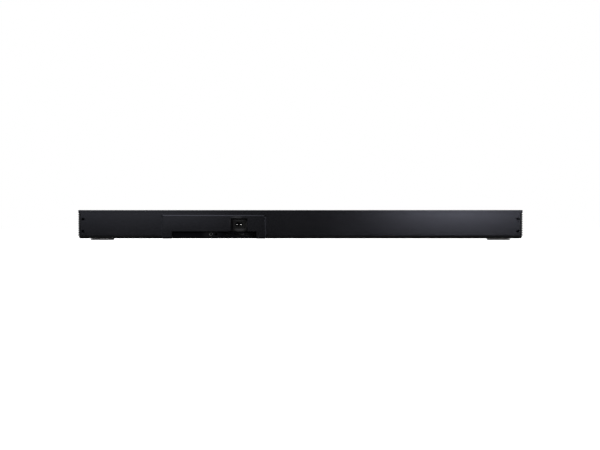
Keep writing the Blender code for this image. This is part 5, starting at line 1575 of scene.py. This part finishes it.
def softbox(name, where, target, width, height, power, tint=(1.0, 1.0, 1.0)):
    """A rectangular light that the camera doesn't see."""
    box = aimed(name, "AREA", where, target, power)
    box.data.shape = "RECTANGLE"
    box.data.size = width
    box.data.size_y = height
    box.data.color = tint
    box.visible_camera = False


MIDDLE = (0.0, REAR * MM, 0.034)
COOL = (0.79, 0.81, 1.0)
softbox("key_box", (-0.395, 2.06, 0.170), (-0.33, 0.06, 0.03), 0.27, 0.16, 1.18, COOL)
softbox("left_box", (0.44, 2.06, 0.175), (0.38, 0.06, 0.03), 0.46, 0.16, 0.42, COOL)
softbox("top_box", (0.45, 0.35, 1.6), MIDDLE, 1.1, 0.9, 5.0, COOL)
softbox("side_box_right", (-1.6, 0.25, 0.2), (-0.2, 0.06, 0.03), 0.4, 0.4, 0.5, COOL)
softbox("side_box_left", (1.7, 0.25, 0.2), (0.3, 0.06, 0.03), 0.4, 0.4, 0.5, COOL)
softbox("front_box", (0.3, -1.8, 2.2), (0.0, -0.05, 0.03), 1.6, 1.0, 60.0)
softbox("back_panel", (0.0, 3.6, 1.9), MIDDLE, 7.0, 2.2, 8.0)
softbox("front_panel", (0.0, -3.6, 1.9), MIDDLE, 7.0, 2.2, 14.0)


def snoot(name, where, target, power, reach):
    """A small spotlight whose beam reaches that far, in metres, around its target."""
    spot = aimed(name, "SPOT", where, target, power).data
    spot.spot_size = 2 * math.atan(reach / math.dist(where, target))
    spot.spot_blend = 0.6
    spot.shadow_soft_size = 0.003


inlet_face = (INLET_X * MM, INLET[3] * MM, INLET_Z * MM)
snoot("inlet_snoot", (INLET_X * MM + 0.55, 1.85, 0.50), inlet_face, 150.0, 0.0072)
jack_face = (JACK_PLACES[1] * MM, JACKS[3] * MM, JACK_Z * MM)
snoot("jack_snoot", (JACK_PLACES[1] * MM + 0.85, 1.9, 0.06), jack_face, 14.0, 0.009)

# %% [markdown]
# ## Camera
# The camera looks straight at the back of the bar from twelve metres away, level with its middle, so
# that its long edges stay parallel. Its lens follows from the width that the view takes in.

# %% Set the camera
VIEW_DISTANCE = 12.0
VIEW_WIDTH = 1.2828
VIEW_HEIGHT = 0.0320
VIEW_ASIDE = 0.00095
SENSOR = 36.0
camera_data = bpy.data.cameras.new("camera")
camera_data.sensor_width = SENSOR
camera_data.lens = SENSOR * (VIEW_DISTANCE - REAR * MM) / VIEW_WIDTH
camera_data.clip_end = 100.0
camera = bpy.data.objects.new("camera", camera_data)
camera.location = (VIEW_ASIDE, VIEW_DISTANCE, VIEW_HEIGHT)
camera.rotation_euler = (math.radians(90), 0, math.radians(180))
bpy.context.scene.collection.objects.link(camera)
bpy.context.scene.camera = camera
bpy.context.scene.view_settings.view_transform = "Standard"
print("lens", round(camera_data.lens, 2), "mm")
